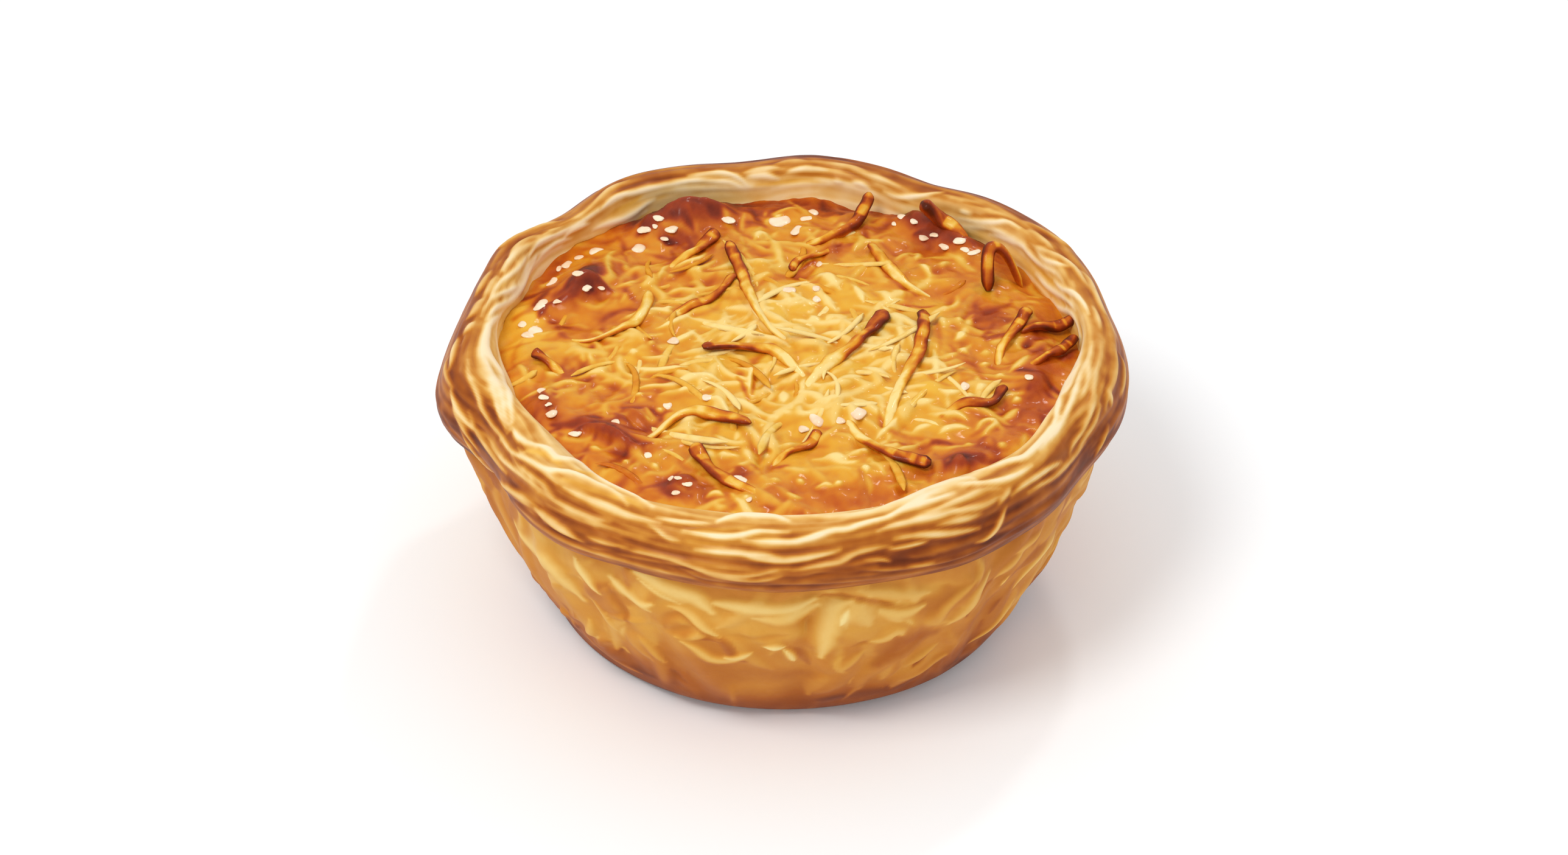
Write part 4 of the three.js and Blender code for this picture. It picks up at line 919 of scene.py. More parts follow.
def rim_sheet(arc_length):
    """Strands of layered pastry round the rim: strewn ones first, then those that the photograph shows."""
    sheet = Sheet((0, 0), (RIM_ROUND, arc_length), RIM_PITCH, wraps=True)
    azimuth = sheet.x / RIM_ROUND * 360
    share_up = sheet.y / arc_length
    sheet.browning = rim_tone(azimuth, share_up) + 0.14
    sheet.kind = (smooth(0.74, 0.88, share_up)
                  * (0.6 - 0.3 * bell(azimuth, 270, 45) + 0.15 * bell(azimuth, 180, 40)))
    rng = np.random.default_rng(RIM_SEED)
    for _ in range(RIM_STRANDS):
        turn, across = rng.uniform(0, 360), rng.uniform(0.05, 0.98)
        length = rng.uniform(14, 40)
        slope = 0.11 * soft_noise(np.array(turn / 30), np.array(across * 1.5), 91, 12) + rng.normal(0, 0.028)
        start = np.array([turn / 360 * RIM_ROUND - length / 2, across * arc_length - slope * length / 2])
        path = bowed_path(start, math.atan(slope), length, rng.normal(0, 0.5), rng.normal(0, 0.22), 12)
        tone = float(rim_tone(turn, across)) + rng.normal(0, 0.11)
        gold = rng.uniform(0, 0.4) + 0.3 * smooth(0.78, 0.9, across)
        sheet.lay(path, rng.uniform(0.6, 1.7), rng.uniform(0.2, 0.4), tone, gold, soft=0.7,
                  sunk=rng.uniform(-0.2, 0), fall=rng.uniform(0.6, 1.2))
    outline, outward, arc = spline(RIM_OUTLINE, 200)
    fine_azimuth = np.arange(0, 360, 0.3)
    share = arc / arc[-1]
    points = rim_points(fine_azimuth[:, None], outline[None], outward[None], share[None], 0)
    spots = np.stack(np.meshgrid(fine_azimuth / 360 * RIM_ROUND, arc, indexing="ij"), -1)
    tracing = Tracing(points[:, share > 0.14], spots[:, share > 0.14], RIM_ROUND)
    sheet.base = sheet.blurred(sheet.height, 0.6)
    for kind, strokes in ((0, RIM_GROOVES), (1, RIM_GOLD), (0.05, RIM_RIDGES)):
        sheet.trace(tracing, strokes, kind, wider=1.15, darker=-0.04, soft=0.6, sunk=0.1, fall=0.8)
    fade = smooth(0, 0.06, share_up) * (1 - smooth(0.93, 1, share_up))
    sheet.browning += (0.1 * round_noise(azimuth, share_up, 70, 12, 31)
                       + 0.06 * round_noise(azimuth, share_up, 160, 30, 32))
    sheet.height = 0.85 * (sheet.blurred(sheet.height, RIM_BLUR) - 0.25) * fade
    sheet.browning = sheet.blurred(sheet.browning, RIM_BLUR)
    sheet.kind = sheet.blurred(sheet.kind, 0.2)
    return sheet


def rim_piece():
    """The rim's solid: the outline's rows with their relief, closed behind by two hidden rows."""
    outline, outward, arc = spline(RIM_OUTLINE, RIM_ROWS)
    azimuth = np.arange(RIM_COLUMNS)[None] * 360 / RIM_COLUMNS
    sheet = rim_sheet(arc[-1])
    x, y = np.broadcast_arrays(azimuth / 360 * RIM_ROUND, arc[:, None])
    share = arc[:, None] / arc[-1]
    front = rim_points(azimuth, outline[:, None], outward[:, None], share, sheet.sample(sheet.height, x, y))
    shift = mouth_shift(azimuth, LOBE_HEIGHTS[1])
    hidden = [turned(radius + shift, height, azimuth) for radius, height in RIM_BACK]
    points = np.concatenate([front] + hidden)
    bare = np.zeros((len(hidden), RIM_COLUMNS))
    # Height above the blurred relief, which the finish turns into painted shade in hollows and painted light
    # on crests
    relief_shade = sheet.height - sheet.blurred(sheet.height, 0.5)
    fields = {name: np.vstack([sheet.sample(field, x, y), bare])
              for name, field in (("browning", sheet.browning), ("gold", sheet.kind), ("crest", relief_shade))}
    faces = ring_faces(len(points), RIM_COLUMNS, True)
    return mesh_object("rim_of_layers", points.reshape(-1, 3), faces, fields)


def wall_outline():
    """The wall's outer side from foot to hem, with its length measured up it."""
    heel = spline([(FOOT_RADIUS, 0), FOOT_BEND, HEEL], 12)[0]
    share = np.linspace(0, 1, WALL_ROWS)[1:, None]
    low, middle, high = np.array(HEEL), np.array(WALL_CONTROL), np.array(WALL_TOP)
    side = (1 - share) ** 2 * low + 2 * share * (1 - share) * middle + share**2 * high
    outline = np.vstack([heel, side])
    return outline, np.concatenate([[0], np.cumsum(np.hypot(*np.diff(outline, axis=0).T))])


def wall_points(azimuth, outline, relief):
    """The wall's outer side: the outline turned round, with its folds, bellies, lobes and a relief."""
    radius, height = outline[..., 0], outline[..., 1] + 0 * azimuth
    up = np.clip(height / HEM[1], 0, 1)
    folds = sum(out * bell(azimuth, heel + (hem - heel) * up, width) for hem, heel, width, out in WALL_FOLDS)
    belly = lobe_sum(WALL_BELLIES, azimuth, 2) * smooth(*BELLY_START, height)
    belly = belly * (1 - smooth(*BELLY_END, height))
    lobes = lobe_sum(RIM_LOBES, azimuth, 2) * smooth(*LOBE_HEIGHTS, height)
    loose = smooth(HEEL[1] / 2, 3 * HEEL[1], height)
    return turned(radius + lobes + belly + (folds + relief) * loose, height, azimuth)


def wall_sheet(outline, arc):
    """Soft folds on the wall: strewn ones all round, then those that the photograph shows."""
    sheet = Sheet((0, 0), (WALL_ROUND, arc[-1]), WALL_PITCH, wraps=True)
    azimuth, up = sheet.x / WALL_ROUND * 360, sheet.y / arc[-1]
    low = 0.4 * (1 - smooth(0.08, 0.42, up)) + 0.12 * (1 - smooth(0.2, 0.9, up))
    blots = 0.16 * round_noise(azimuth, up, 17, 2.5, 44) + 0.08 * round_noise(azimuth, up, 40, 6, 45)
    sheet.browning = 0.38 + low + lobe_sum(WALL_TONES, azimuth, 2) + blots + 0.12 * smooth(0.86, 1, up)
    sheet.height = 0.25 * round_noise(azimuth, up, 20, 2.4, 41)
    sheet.base = sheet.height.copy()
    rng = np.random.default_rng(WALL_SEED)
    for _ in range(WALL_FLAKES):
        middle = np.array([rng.uniform(0, WALL_ROUND), rng.uniform(0.1, 0.97) * arc[-1]])
        flow = round_noise(middle[0] / WALL_ROUND * 360, middle[1] / arc[-1], 9, 1.6, 47)
        heading = math.radians(80 + 95 * float(flow) + rng.normal(0, 10))
        length, bow, wiggle = rng.uniform(4, 12), rng.normal(0, 1), rng.normal(0, 0.5)
        tone = float(sheet.sample(sheet.browning, *middle)) - rng.uniform(-0.18, 0.22)
        width, relief = rng.uniform(1.2, 4.4), rng.uniform(0.25, 0.6)
        sheet.strew(middle, heading, length, bow, wiggle, width, relief, tone, 0,
                    soft=0.9, cover=0.85, fall=1)
    fine = np.arange(0, 360, 0.4)
    points = wall_points(fine[:, None], outline[None], 0)
    spots = np.stack(np.meshgrid(fine / 360 * WALL_ROUND, arc, indexing="ij"), -1)
    tracing = Tracing(points, spots, WALL_ROUND)
    sheet.base = sheet.blurred(sheet.height, 0.8)
    sheet.trace(tracing, WALL_ZONES, 0, soft=1, cover=0.8)
    # Creases browner and folds paler: partly painted shade and painted highlight
    for strokes in (WALL_CREASES, WALL_LIGHTS):
        sheet.trace(tracing, strokes, 0, wider=1.3, higher=1.2, darker=-0.04, soft=0.95, fall=1)
    sheet.height = sheet.blurred(sheet.height, WALL_BLUR) - 0.15
    return sheet


def wall_piece():
    """The wall's solid, with the case's inner side and floor, which stay hidden."""
    outline, arc = wall_outline()
    sheet = wall_sheet(outline, arc)
    azimuth = np.arange(WALL_COLUMNS)[None] * 360 / WALL_COLUMNS
    x, y = np.broadcast_arrays(azimuth / 360 * WALL_ROUND, arc[:, None])
    outside = wall_points(azimuth, outline[:, None], sheet.sample(sheet.height, x, y))
    inner = inner_rows(WALL_INSIDE, azimuth)
    points = np.concatenate([outside] + inner)
    rows = len(points)
    points = np.vstack([points.reshape(-1, 3), [(0, 0, 0), (0, 0, FLOOR[1])]])
    bare = np.full((len(inner), WALL_COLUMNS), 0.3)
    fields = {"browning": np.append(np.vstack([sheet.sample(sheet.browning, x, y), bare]), [0.6, 0.3])}
    return mesh_object("folded_wall", points, capped_faces(rows, WALL_COLUMNS), fields)


def inner_rows(section, azimuth):
    """Rows of points round the inside, one for each radius and height of a section."""
    return [turned(radius + mouth_shift(azimuth, height), height, azimuth) for radius, height in section]


def filling_ground(x, y):
    """Height of the bare custard."""
    reach = np.hypot(x, y) / MOUTH[0]
    dome = DOME_RISE * (1 - reach * reach) - EDGE_ROLL * smooth(0.9, 1, reach)
    waves = sum(size * np.sin(kx * x + ky * y + phase) for kx, ky, phase, size in GROUND_WAVES)
    blisters = sum(row[5] * mound(x, y, row) for row in BLISTERS)
    lumps = 0.28 * blotches(x, y, 4.2, 51) + 0.12 * blotches(x, y, 1.7, 53)
    return FILLING_EDGE_HEIGHT + EDGE_ROLL + dome + waves + blisters + lumps


def filling_browning(x, y):
    """Browning of the bare custard."""
    reach = np.hypot(x, y) / MOUTH[0]
    brown = sum(row[5] * mound(x, y, row) for row in BROWNED)
    brown = brown - sum(row[5] * mound(x, y, row) for row in PALE)
    edge = 0.08 * smooth(0.5, 0.8, reach) + 0.04 * smooth(0.93, 1.02, reach)
    # Paler flecks in the browned places: partly a painted highlight on the blisters
    flecks = 0.3 * smooth(0.25, 0.7, blotches(x, y, 1.1, 65)) * smooth(0.55, 0.9, brown)
    return 0.2 + brown + edge - flecks + 0.13 * blotches(x, y, 5, 61) + 0.05 * blotches(x, y, 1.6, 63)


class Sheet:
    """A sheet of the tart's surface: fields for its height and look, on an even grid in millimetres."""

    def __init__(self, origin, size, pitch, wraps=False):
        self.origin, self.wraps = np.array(origin, float), wraps
        self.count = np.round(np.array(size) / pitch).astype(int)
        self.step = np.array(size) / self.count
        axes = [self.origin[axis] + self.step[axis] * np.arange(self.count[axis]) for axis in (0, 1)]
        self.x, self.y = np.meshgrid(*axes, indexing="ij")
        self.base = np.zeros(self.count)
        self.height = np.zeros(self.count)
        self.browning = np.zeros(self.count)
        self.kind = np.zeros(self.count)

    def window(self, path, margin):
        """The part of the grid round a path, and the places of its points."""
        low = np.floor((path.min(0) - margin - self.origin) / self.step).astype(int)
        high = np.ceil((path.max(0) + margin - self.origin) / self.step).astype(int) + 1
        columns, rows = np.arange(low[0], high[0]), np.arange(low[1], high[1])
        if not self.wraps:
            columns = columns[(columns >= 0) & (columns < self.count[0])]
        rows = rows[(rows >= 0) & (rows < self.count[1])]
        spot = np.ix_(columns % self.count[0], rows)
        x, y = self.origin[0] + columns * self.step[0], self.origin[1] + rows * self.step[1]
        return spot, x[:, None] + 0 * y[None], y[None] + 0 * x[:, None]

    def lay(self, path, width, relief, browning, kind, soft=0.45, sunk=0.0, cover=1.0, fall=0.5):
        """Lays a tapered stroke: a rounded ridge on what lies there, or a groove where relief is negative."""
        spot, x, y = self.window(path, width / 2 + 0.2)
        nearest, along = np.full(x.shape, 99.0), np.zeros(x.shape)
        steps = len(path) - 1
        for number in range(steps):
            start, run = path[number], path[number + 1] - path[number]
            share = np.clip(((x - start[0]) * run[0] + (y - start[1]) * run[1]) / (run @ run + 1e-9), 0, 1)
            away = np.hypot(x - start[0] - share * run[0], y - start[1] - share * run[1])
            closer = away < nearest
            nearest = np.where(closer, away, nearest)
            along = np.where(closer, (number + share) / steps, along)
        taper = np.sin(math.pi * np.clip(along, 0.04, 0.96)) ** 0.5
        across = 2 * nearest / (width * taper)
        covered = smooth(1, 1 - soft, across) * cover
        if relief > 0:
            back = self.base[spot] + sunk * taper + relief * taper * np.clip(1 - across**2, 0, 1) ** fall
            above = back - self.height[spot]
            self.height[spot] = np.where(across < 1, np.maximum(self.height[spot], back), self.height[spot])
            covered = covered * smooth(-0.05, 0.06, above)
        else:
            self.height[spot] += relief * taper * smooth(1, 0, across) * cover
        self.browning[spot] = mixed(self.browning[spot], browning, covered)
        self.kind[spot] = mixed(self.kind[spot], kind, covered)

    def trace(self, tracing, strokes, kind, wider=1, higher=1, darker=0, **form):
        """Lays strokes of a table: width, relief and browning, then the pixels that each passes through."""
        for width, relief, browning, *pixels in strokes:
            self.lay(tracing.path(pixels), width * wider, relief * higher, browning + darker, kind, **form)

    def strew(self, middle, heading, length, bow, wiggle, *look, **form):
        """Lays a bowed stroke round its middle."""
        path = bowed_path(middle - length / 2 * direction(heading), heading, length, bow, wiggle, 9)
        self.lay(path, *look, **form)

    def sample(self, field, x, y):
        """A field's values at places between its points."""
        gx, gy = (x - self.origin[0]) / self.step[0], (y - self.origin[1]) / self.step[1]
        if not self.wraps:
            gx = np.clip(gx, 0, self.count[0] - 1.001)
        gy = np.clip(gy, 0, self.count[1] - 1.001)
        column, row = np.floor(gx).astype(int), np.floor(gy).astype(int)
        fx, fy = gx - column, gy - row
        beside, column = (column + 1) % self.count[0], column % self.count[0]
        near = mixed(field[column, row], field[beside, row], fx)
        far = mixed(field[column, row + 1], field[beside, row + 1], fx)
        return mixed(near, far, fy)

    def blurred(self, field, reach):
        """The field smoothed over a reach in millimetres."""
        waves = [np.fft.fftfreq(self.count[axis], self.step[axis]) for axis in (0, 1)]
        fade = np.exp(-2 * (math.pi * reach) ** 2 * (waves[0][:, None] ** 2 + waves[1][None] ** 2))
        return np.real(np.fft.ifft2(np.fft.fft2(field) * fade))


def in_photo(points):
    """Pixels of the photograph at which points in millimetres show."""
    rise = math.radians(VIEW_ELEVATION)
    back = np.array([0, -math.cos(rise), math.sin(rise)])
    up = np.array([0, math.sin(rise), math.cos(rise)])
    away = points - np.array([0, 0, VIEW_HEIGHT])
    depth = VIEW_DISTANCE - away @ back
    x, y = FOCAL * away[..., 0] / depth, FOCAL * (away @ up) / depth
    return np.stack([PHOTO_CENTRE[0] + x, PHOTO_CENTRE[1] - y], -1)


class Tracing:
    """Finds the spots of a sheet that show at pixels of the photograph."""

    def __init__(self, points, spots, around=0):
        self.around = around
        rise = math.radians(VIEW_ELEVATION)
        sight = np.array([0, math.cos(rise), -math.sin(rise)])
        along, across = np.gradient(points, axis=0), np.gradient(points, axis=1)
        facing = np.cross(along, across) @ sight < 0
        pixels = in_photo(points)[facing]
        self.spots = spots[facing]
        self.tree = KDTree(len(pixels))
        for number, (x, y) in enumerate(pixels):
            self.tree.insert((x, y, 0), number)
        self.tree.balance()

    def beside(self, number, last):
        """A spot, counted round the turn so that it lies near the last one."""
        spot = self.spots[number].copy()
        if self.around:
            spot[0] = last[0] + (spot[0] - last[0] + self.around / 2) % self.around - self.around / 2
        return spot

    def path(self, numbers):
        """A smooth path over the sheet through pixels given as a flat row, without leaps between folds."""
        pixels = np.reshape(numbers, (-1, 2))
        spots = [self.spots[self.tree.find((*pixels[0], 0))[1]]]
        for x, y in pixels[1:]:
            reach = self.tree.find((x, y, 0))[2] + 4
            choices = [self.beside(found[1], spots[-1]) for found in self.tree.find_range((x, y, 0), reach)]
            spots.append(min(choices, key=lambda choice: np.hypot(*(choice - spots[-1]))))
        return spline(np.array(spots), 2 * len(spots) + 2)[0]


def bowed_path(start, heading, length, bow, wiggle, steps):
    """Points along a bowed strand, seen from above."""
    share = np.linspace(0, 1, steps)
    forward = direction(heading)
    left = np.array([-forward[1], forward[0]])
    sway = bow * 4 * share * (1 - share) + wiggle * np.sin(TURN * share)
    return np.asarray(start) + share[:, None] * length * forward + sway[:, None] * left


def strewn_strands(sheet):
    """Lays strands of coconut over the custard, fewest at the edge, with short browner gaps among them,
    partly painted shade between the strands.
    """
    rng = np.random.default_rng(STRAND_SEED)
    for number in rng.permutation(STRANDS + GAPS):
        radius = STRAND_REACH * math.sqrt(rng.uniform(0, 1))
        azimuth = rng.uniform(0, TURN)
        middle = radius * direction(azimuth)
        flow = 0.9 * soft_noise(middle[0] / 14 + 9, middle[1] / 14 + 9, 81)
        heading = math.radians(rng.choice(STRAND_HEADINGS)) + flow * 1.6 + rng.normal(0, 0.35)
        length = rng.uniform(3, 8.5)
        curve = (middle, heading, length, rng.normal(0, 0.13) * length, rng.normal(0, 0.25))
        local = float(sheet.sample(sheet.browning, *middle))
        if local > TOO_BROWN:
            continue
        if number < STRANDS:
            width = rng.uniform(1, 2.1)
            sunk = -0.3 * smooth(16, 33, radius) + rng.uniform(-0.3, 0.1)
            tone = local - 0.11 + rng.normal(0, 0.09)
            kind = rng.uniform(0.3, 0.95)
            sheet.strew(*curve, width, width * 0.24, tone, kind, soft=0.8, sunk=sunk, fall=0.8)
        else:
            width = rng.uniform(1.2, 2.6)
            # Browner shallow grooves: partly browned custard, partly painted shade between the strands
            sheet.strew(*curve, width, -0.08, local + rng.uniform(0.08, 0.32), 0, soft=1, cover=0.8)


def filling_sheet():
    """The custard's surface: its blisters, strands of coconut and browned marks."""
    sheet = Sheet((-RASTER_HALF, -RASTER_HALF), (2 * RASTER_HALF, 2 * RASTER_HALF), RASTER_PITCH)
    sheet.base = filling_ground(sheet.x, sheet.y)
    sheet.height = sheet.base.copy()
    sheet.browning = filling_browning(sheet.x, sheet.y)
    reach = np.linspace(0, 1, 300)[:, None]
    azimuth = np.radians(np.arange(0, 360, 0.5))[None]
    spots = (reach * (MOUTH[0] + 2))[..., None] * np.stack([np.cos(azimuth), np.sin(azimuth)], -1)
    ground = sheet.sample(sheet.base, spots[..., 0], spots[..., 1])
    tracing = Tracing(np.concatenate([spots, ground[..., None]], -1), spots)
    sheet.trace(tracing, CUSTARD_ZONES, 0, soft=1, cover=0.75)
    strewn_strands(sheet)
    sheet.base = sheet.blurred(sheet.height, 0.5)
    sheet.trace(tracing, CUSTARD_BROWNS, 0, soft=0.7, fall=0.7)
    sheet.trace(tracing, PALE_SHREDS, 1, soft=0.7, fall=0.7)
    crust = 0.1 * sheet.browning * blotches(sheet.x, sheet.y, 0.9, 57)
    sheet.height = sheet.blurred(sheet.height, CUSTARD_BLUR) + crust
    sheet.browning = sheet.blurred(sheet.browning, CUSTARD_BLUR)
    sheet.level = sheet.blurred(sheet.height, 0.7)
    sheet.tracing = tracing
    return sheet


def disc_grid(cells):
    """Even points over a unit disc, from a square grid, with the grid's border on the circle."""
    axis = np.linspace(-1, 1, cells + 1)
    a, b = np.meshgrid(axis, axis, indexing="ij")
    wide = np.abs(a) >= np.abs(b)
    safe_a, safe_b = np.where(a == 0, 1, a), np.where(b == 0, 1, b)
    angle = np.where(wide, math.pi / 4 * b / safe_a, math.pi / 2 - math.pi / 4 * a / safe_b)
    reach = np.where(wide, a, b)
    return reach * np.cos(angle), reach * np.sin(angle)


def border_ring(cells):
    """Numbers of a square grid's border points, in order round it."""
    side = cells + 1
    low = [column * side for column in range(cells)]
    right = [cells * side + row for row in range(cells)]
    high = [column * side + cells for column in range(cells, 0, -1)]
    left = list(range(cells, 0, -1))
    return low + right + high + left


def filling_piece(sheet):
    """The custard's solid: its surface as a grid, then rows down its hidden side to the point below."""
    unit_x, unit_y = disc_grid(FILLING_CELLS)
    azimuth = np.degrees(np.arctan2(unit_y, unit_x)) % 360
    reach = np.hypot(unit_x, unit_y)
    radius = reach * (MOUTH[0] + FILLING_TUCK) + mouth_shift(azimuth, MOUTH[1]) * reach**3
    x, y = radius * np.cos(np.radians(azimuth)), radius * np.sin(np.radians(azimuth))
    height = sheet.sample(sheet.height, x, y)
    # Height above the blurred surface, which the finish turns into painted shade in hollows and painted light
    # on crests
    relief_shade = sheet.height - sheet.level
    top = np.stack([x, y, height], -1).reshape(-1, 3)
    faces = grid_faces(FILLING_CELLS)
    ring = border_ring(FILLING_CELLS)
    side = inner_rows(FILLING_SIDE, azimuth.ravel()[ring])
    points = np.vstack([top, *side, [(0, 0, FILLING_SIDE[-1][1])]])
    previous = ring
    for first in range(len(top), len(points) - 1, len(ring)):
        current = list(range(first, first + len(ring)))
        for index in range(len(ring)):
            beside = (index + 1) % len(ring)
            faces.append((previous[beside], previous[index], current[index], current[beside]))
        previous = current
    bottom = len(points) - 1
    faces += [(previous[(index + 1) % len(ring)], previous[index], bottom) for index in range(len(ring))]
    below = len(points) - len(top)
    fields = {
        "browning": np.append(np.clip(sheet.sample(sheet.browning, x, y), 0, 1), [0.5] * below),
        "strand": np.append(sheet.sample(sheet.kind, x, y), [0] * below),
        "crest": np.append(sheet.sample(relief_shade, x, y), [0] * below),
    }
    return mesh_object("browned_custard", points, faces, fields)


def large_shred(sheet, row):
    """Points and browning of one large shred, with painted highlights on its top: a ragged, curled strip
    whose far end sinks into the custard.
    """
    tip, end = np.array(row[:2]), np.array(row[2:4])
    bow, wiggle, width, lift, rise, tip_brown, end_brown = row[4:]
    heading, length = math.atan2(*(end - tip)[::-1]), np.hypot(*(end - tip))
    share = np.linspace(0, 1, SHRED_STATIONS)
    flat = bowed_path(tip, heading, length, bow, wiggle, SHRED_STATIONS)
    stand = lift * np.clip(1 - share / 0.45, 0, None) ** 2 + rise * (1 - np.abs(2 * share - 1) ** 3)
    stand -= SHRED_DIVE * smooth(0.5, 1, share)
    ground = sheet.sample(sheet.level, flat[:, 0], flat[:, 1])
    spine = np.column_stack([flat, ground + SHRED_GAP + stand])
    along = np.gradient(spine, axis=0)
    along /= np.linalg.norm(along, axis=1)[:, None]
    side = np.cross([0, 0, 1.0], along)
    side /= np.linalg.norm(side, axis=1)[:, None]
    up = np.cross(along, side)
    curl = 0.45 * np.sin(2.2 * share * math.pi + row[0])[:, None]
    side, up = side * np.cos(curl) + up * np.sin(curl), up * np.cos(curl) - side * np.sin(curl)
    blunt = np.clip(share / 0.035, 0.2, 1) ** 0.5 * np.clip((1 - share) / 0.05, 0.15, 1) ** 0.6
    taper = blunt * (1 - 0.34 * smooth(0.4, 1, share))
    turn = (np.arange(SHRED_SIDES) * TURN / SHRED_SIDES)[None]
    place = (share * length)[:, None]
    rough = soft_noise(place / 1.8 + 9 + tip[0], np.cos(turn) * 0.8 + 9 + tip[1], 95)
    half = width * 0.5 * taper[:, None] * (1 + 0.22 * smooth(4, 9, length) * rough)
    flatness = 0.48 + 0.4 * smooth(1, 3, lift + rise)
    points = (spine[:, None] + (np.cos(turn) * half)[..., None] * side[:, None]
              + (np.sin(turn) * half * flatness)[..., None] * up[:, None])
    local = np.clip(sheet.sample(sheet.browning, flat[:, 0], flat[:, 1]) - 0.1, 0.05, 0.9)
    tail = mixed(end_brown, local, 0.5 * smooth(0.5, 0.95, share))
    tone = mixed(0.96 * tip_brown, tail, smooth(0.1, 0.8, share)) + 0.1 * (1 - smooth(0, 0.1, share))
    # Edges browner and the top and bottom paler: partly toasted edges, partly a painted highlight along the
    # middle
    lit_top_toasted_edges = 0.42 * np.abs(np.cos(turn)) ** 2.2 - 0.24
    streaks = 0.2 * soft_noise(place / 1.6 + 3 + tip[1], np.cos(turn) * 1.6 + 7 + tip[0], 96)
    # Pale dabs along the top side are painted highlights
    highlight_dabs = smooth(0.12, 0.4, soft_noise(place / 1.2 + 31 + tip[1], 0 * turn + 5 + tip[0], 97))
    brown = mixed(tone[:, None] + lit_top_toasted_edges + streaks, HIGHLIGHT_DAB_TONE, 0.62 * highlight_dabs * smooth(0.5, 0.9, np.sin(turn)))
    block = np.vstack([points.reshape(-1, 3), spine[:1], spine[-1:]])
    return block, np.append(brown.ravel(), [brown[0, 0], brown[-1, 0]])


def large_shreds_piece(sheet):
    """The toasted shreds, each a closed lump of its own."""
    blocks, browning = zip(*(large_shred(sheet, row) for row in LARGE_SHREDS))
    return joined_object("toasted_shreds", blocks, SHRED_STATIONS, SHRED_SIDES,
                         {"browning": np.concatenate(browning)})


def crumbs_piece(sheet):
    """Small wet lumps at the places where the photograph shows bright spots; their pale colour is partly a
    painted highlight.
    """
    rng = np.random.default_rng(CRUMB_SEED)
    polar = (np.arange(CRUMB_STATIONS) + 1)[:, None] * math.pi / (CRUMB_STATIONS + 1)
    turn = np.arange(CRUMB_SIDES)[None] * TURN / CRUMB_SIDES
    slant = math.sin(math.radians(VIEW_ELEVATION + CRUMB_LEAN))
    blocks = []
    for x, y, half_length, half_width, heading in CRUMBS_AT_GLINTS:
        spot = sheet.tracing.path((x - 1, y, x + 1, y)).mean(0)
        ground = float(sheet.sample(sheet.height, spot[0], spot[1]))
        tilt = math.atan(math.tan(math.radians(heading)) / slant)
        lump = 1 + 0.16 * np.sin(2.2 * polar + rng.uniform(0, TURN))
        lump = lump + 0.04 * rng.normal(size=(CRUMB_STATIONS, CRUMB_SIDES))
        half = np.array([half_length, half_width, half_width]) * CRUMB_SIZES / PIXELS_PER_MM
        across = np.sin(polar) * np.cos(turn) * lump + rng.uniform(-0.5, 0.5) * np.cos(polar) ** 2
        ball = np.stack([-np.cos(polar) + 0 * turn, across, np.sin(polar) * np.sin(turn) * lump], -1)
        block = np.vstack([ball.reshape(-1, 3), [(-1, 0, 0), (1, 0, 0)]]) * half
        turned_x = block[:, 0] * math.cos(tilt) - block[:, 1] * math.sin(tilt)
        turned_y = block[:, 0] * math.sin(tilt) + block[:, 1] * math.cos(tilt)
        blocks.append(np.stack([spot[0] + turned_x, spot[1] + turned_y, ground + block[:, 2]], -1))
    return joined_object("wet_crumbs_at_glints", blocks, CRUMB_STATIONS, CRUMB_SIDES, {})


def colour(code):
    """A linear colour with full alpha from an sRGB hex code."""
    channels = [int(code[start:start + 2], 16) / 255 for start in (0, 2, 4)]
    return tuple(c / 12.92 if c <= 0.04045 else ((c + 0.055) / 1.055) ** 2.4 for c in channels) + (1,)


class Amount:
    """A value in a node tree, for use in expressions."""

    def __init__(self, graph, socket):
        self.graph, self.socket = graph, socket

    def also(self, output):
        """Another output of the same node."""
        return Amount(self.graph, self.socket.node.outputs[output])

    def math(self, operation, first, second):
        return self.graph.node("ShaderNodeMath", {"operation": operation}, {0: first, 1: second})

    def __add__(self, other):
        return self.math("ADD", self, other)

    def __sub__(self, other):
        return self.math("SUBTRACT", self, other)

    def __rsub__(self, other):
        return self.math("SUBTRACT", other, self)

    def __mul__(self, other):
        return self.math("MULTIPLY", self, other)

    def __pow__(self, other):
        return self.math("POWER", self, other)

    __radd__ = __add__
    __rmul__ = __mul__


class Graph:
    """A node tree that is built by calls."""

    def __init__(self, tree):
        self.tree = tree

    def node(self, kind, settings=None, inputs=None, output=0):
        node = self.tree.nodes.new(kind)
        for key, value in (settings or {}).items():
            if key == "stops":
                self.set_stops(node.color_ramp, value)
            else:
                setattr(node, key, value)
        for key, value in (inputs or {}).items():
            self.feed(node.inputs[key], value)
        return Amount(self, node.outputs[output]) if len(node.outputs) else None

    def set_stops(self, ramp, stops):
        while len(ramp.elements) < len(stops):
            ramp.elements.new(1)
        for element, (position, code) in zip(ramp.elements, stops):
            element.position = position
            element.color = colour(code)

    def feed(self, socket, value):
        for part in value if isinstance(value, list) else [value]:
            if isinstance(part, Amount):
                self.tree.links.new(part.socket, socket)
            else:
                socket.default_value = part


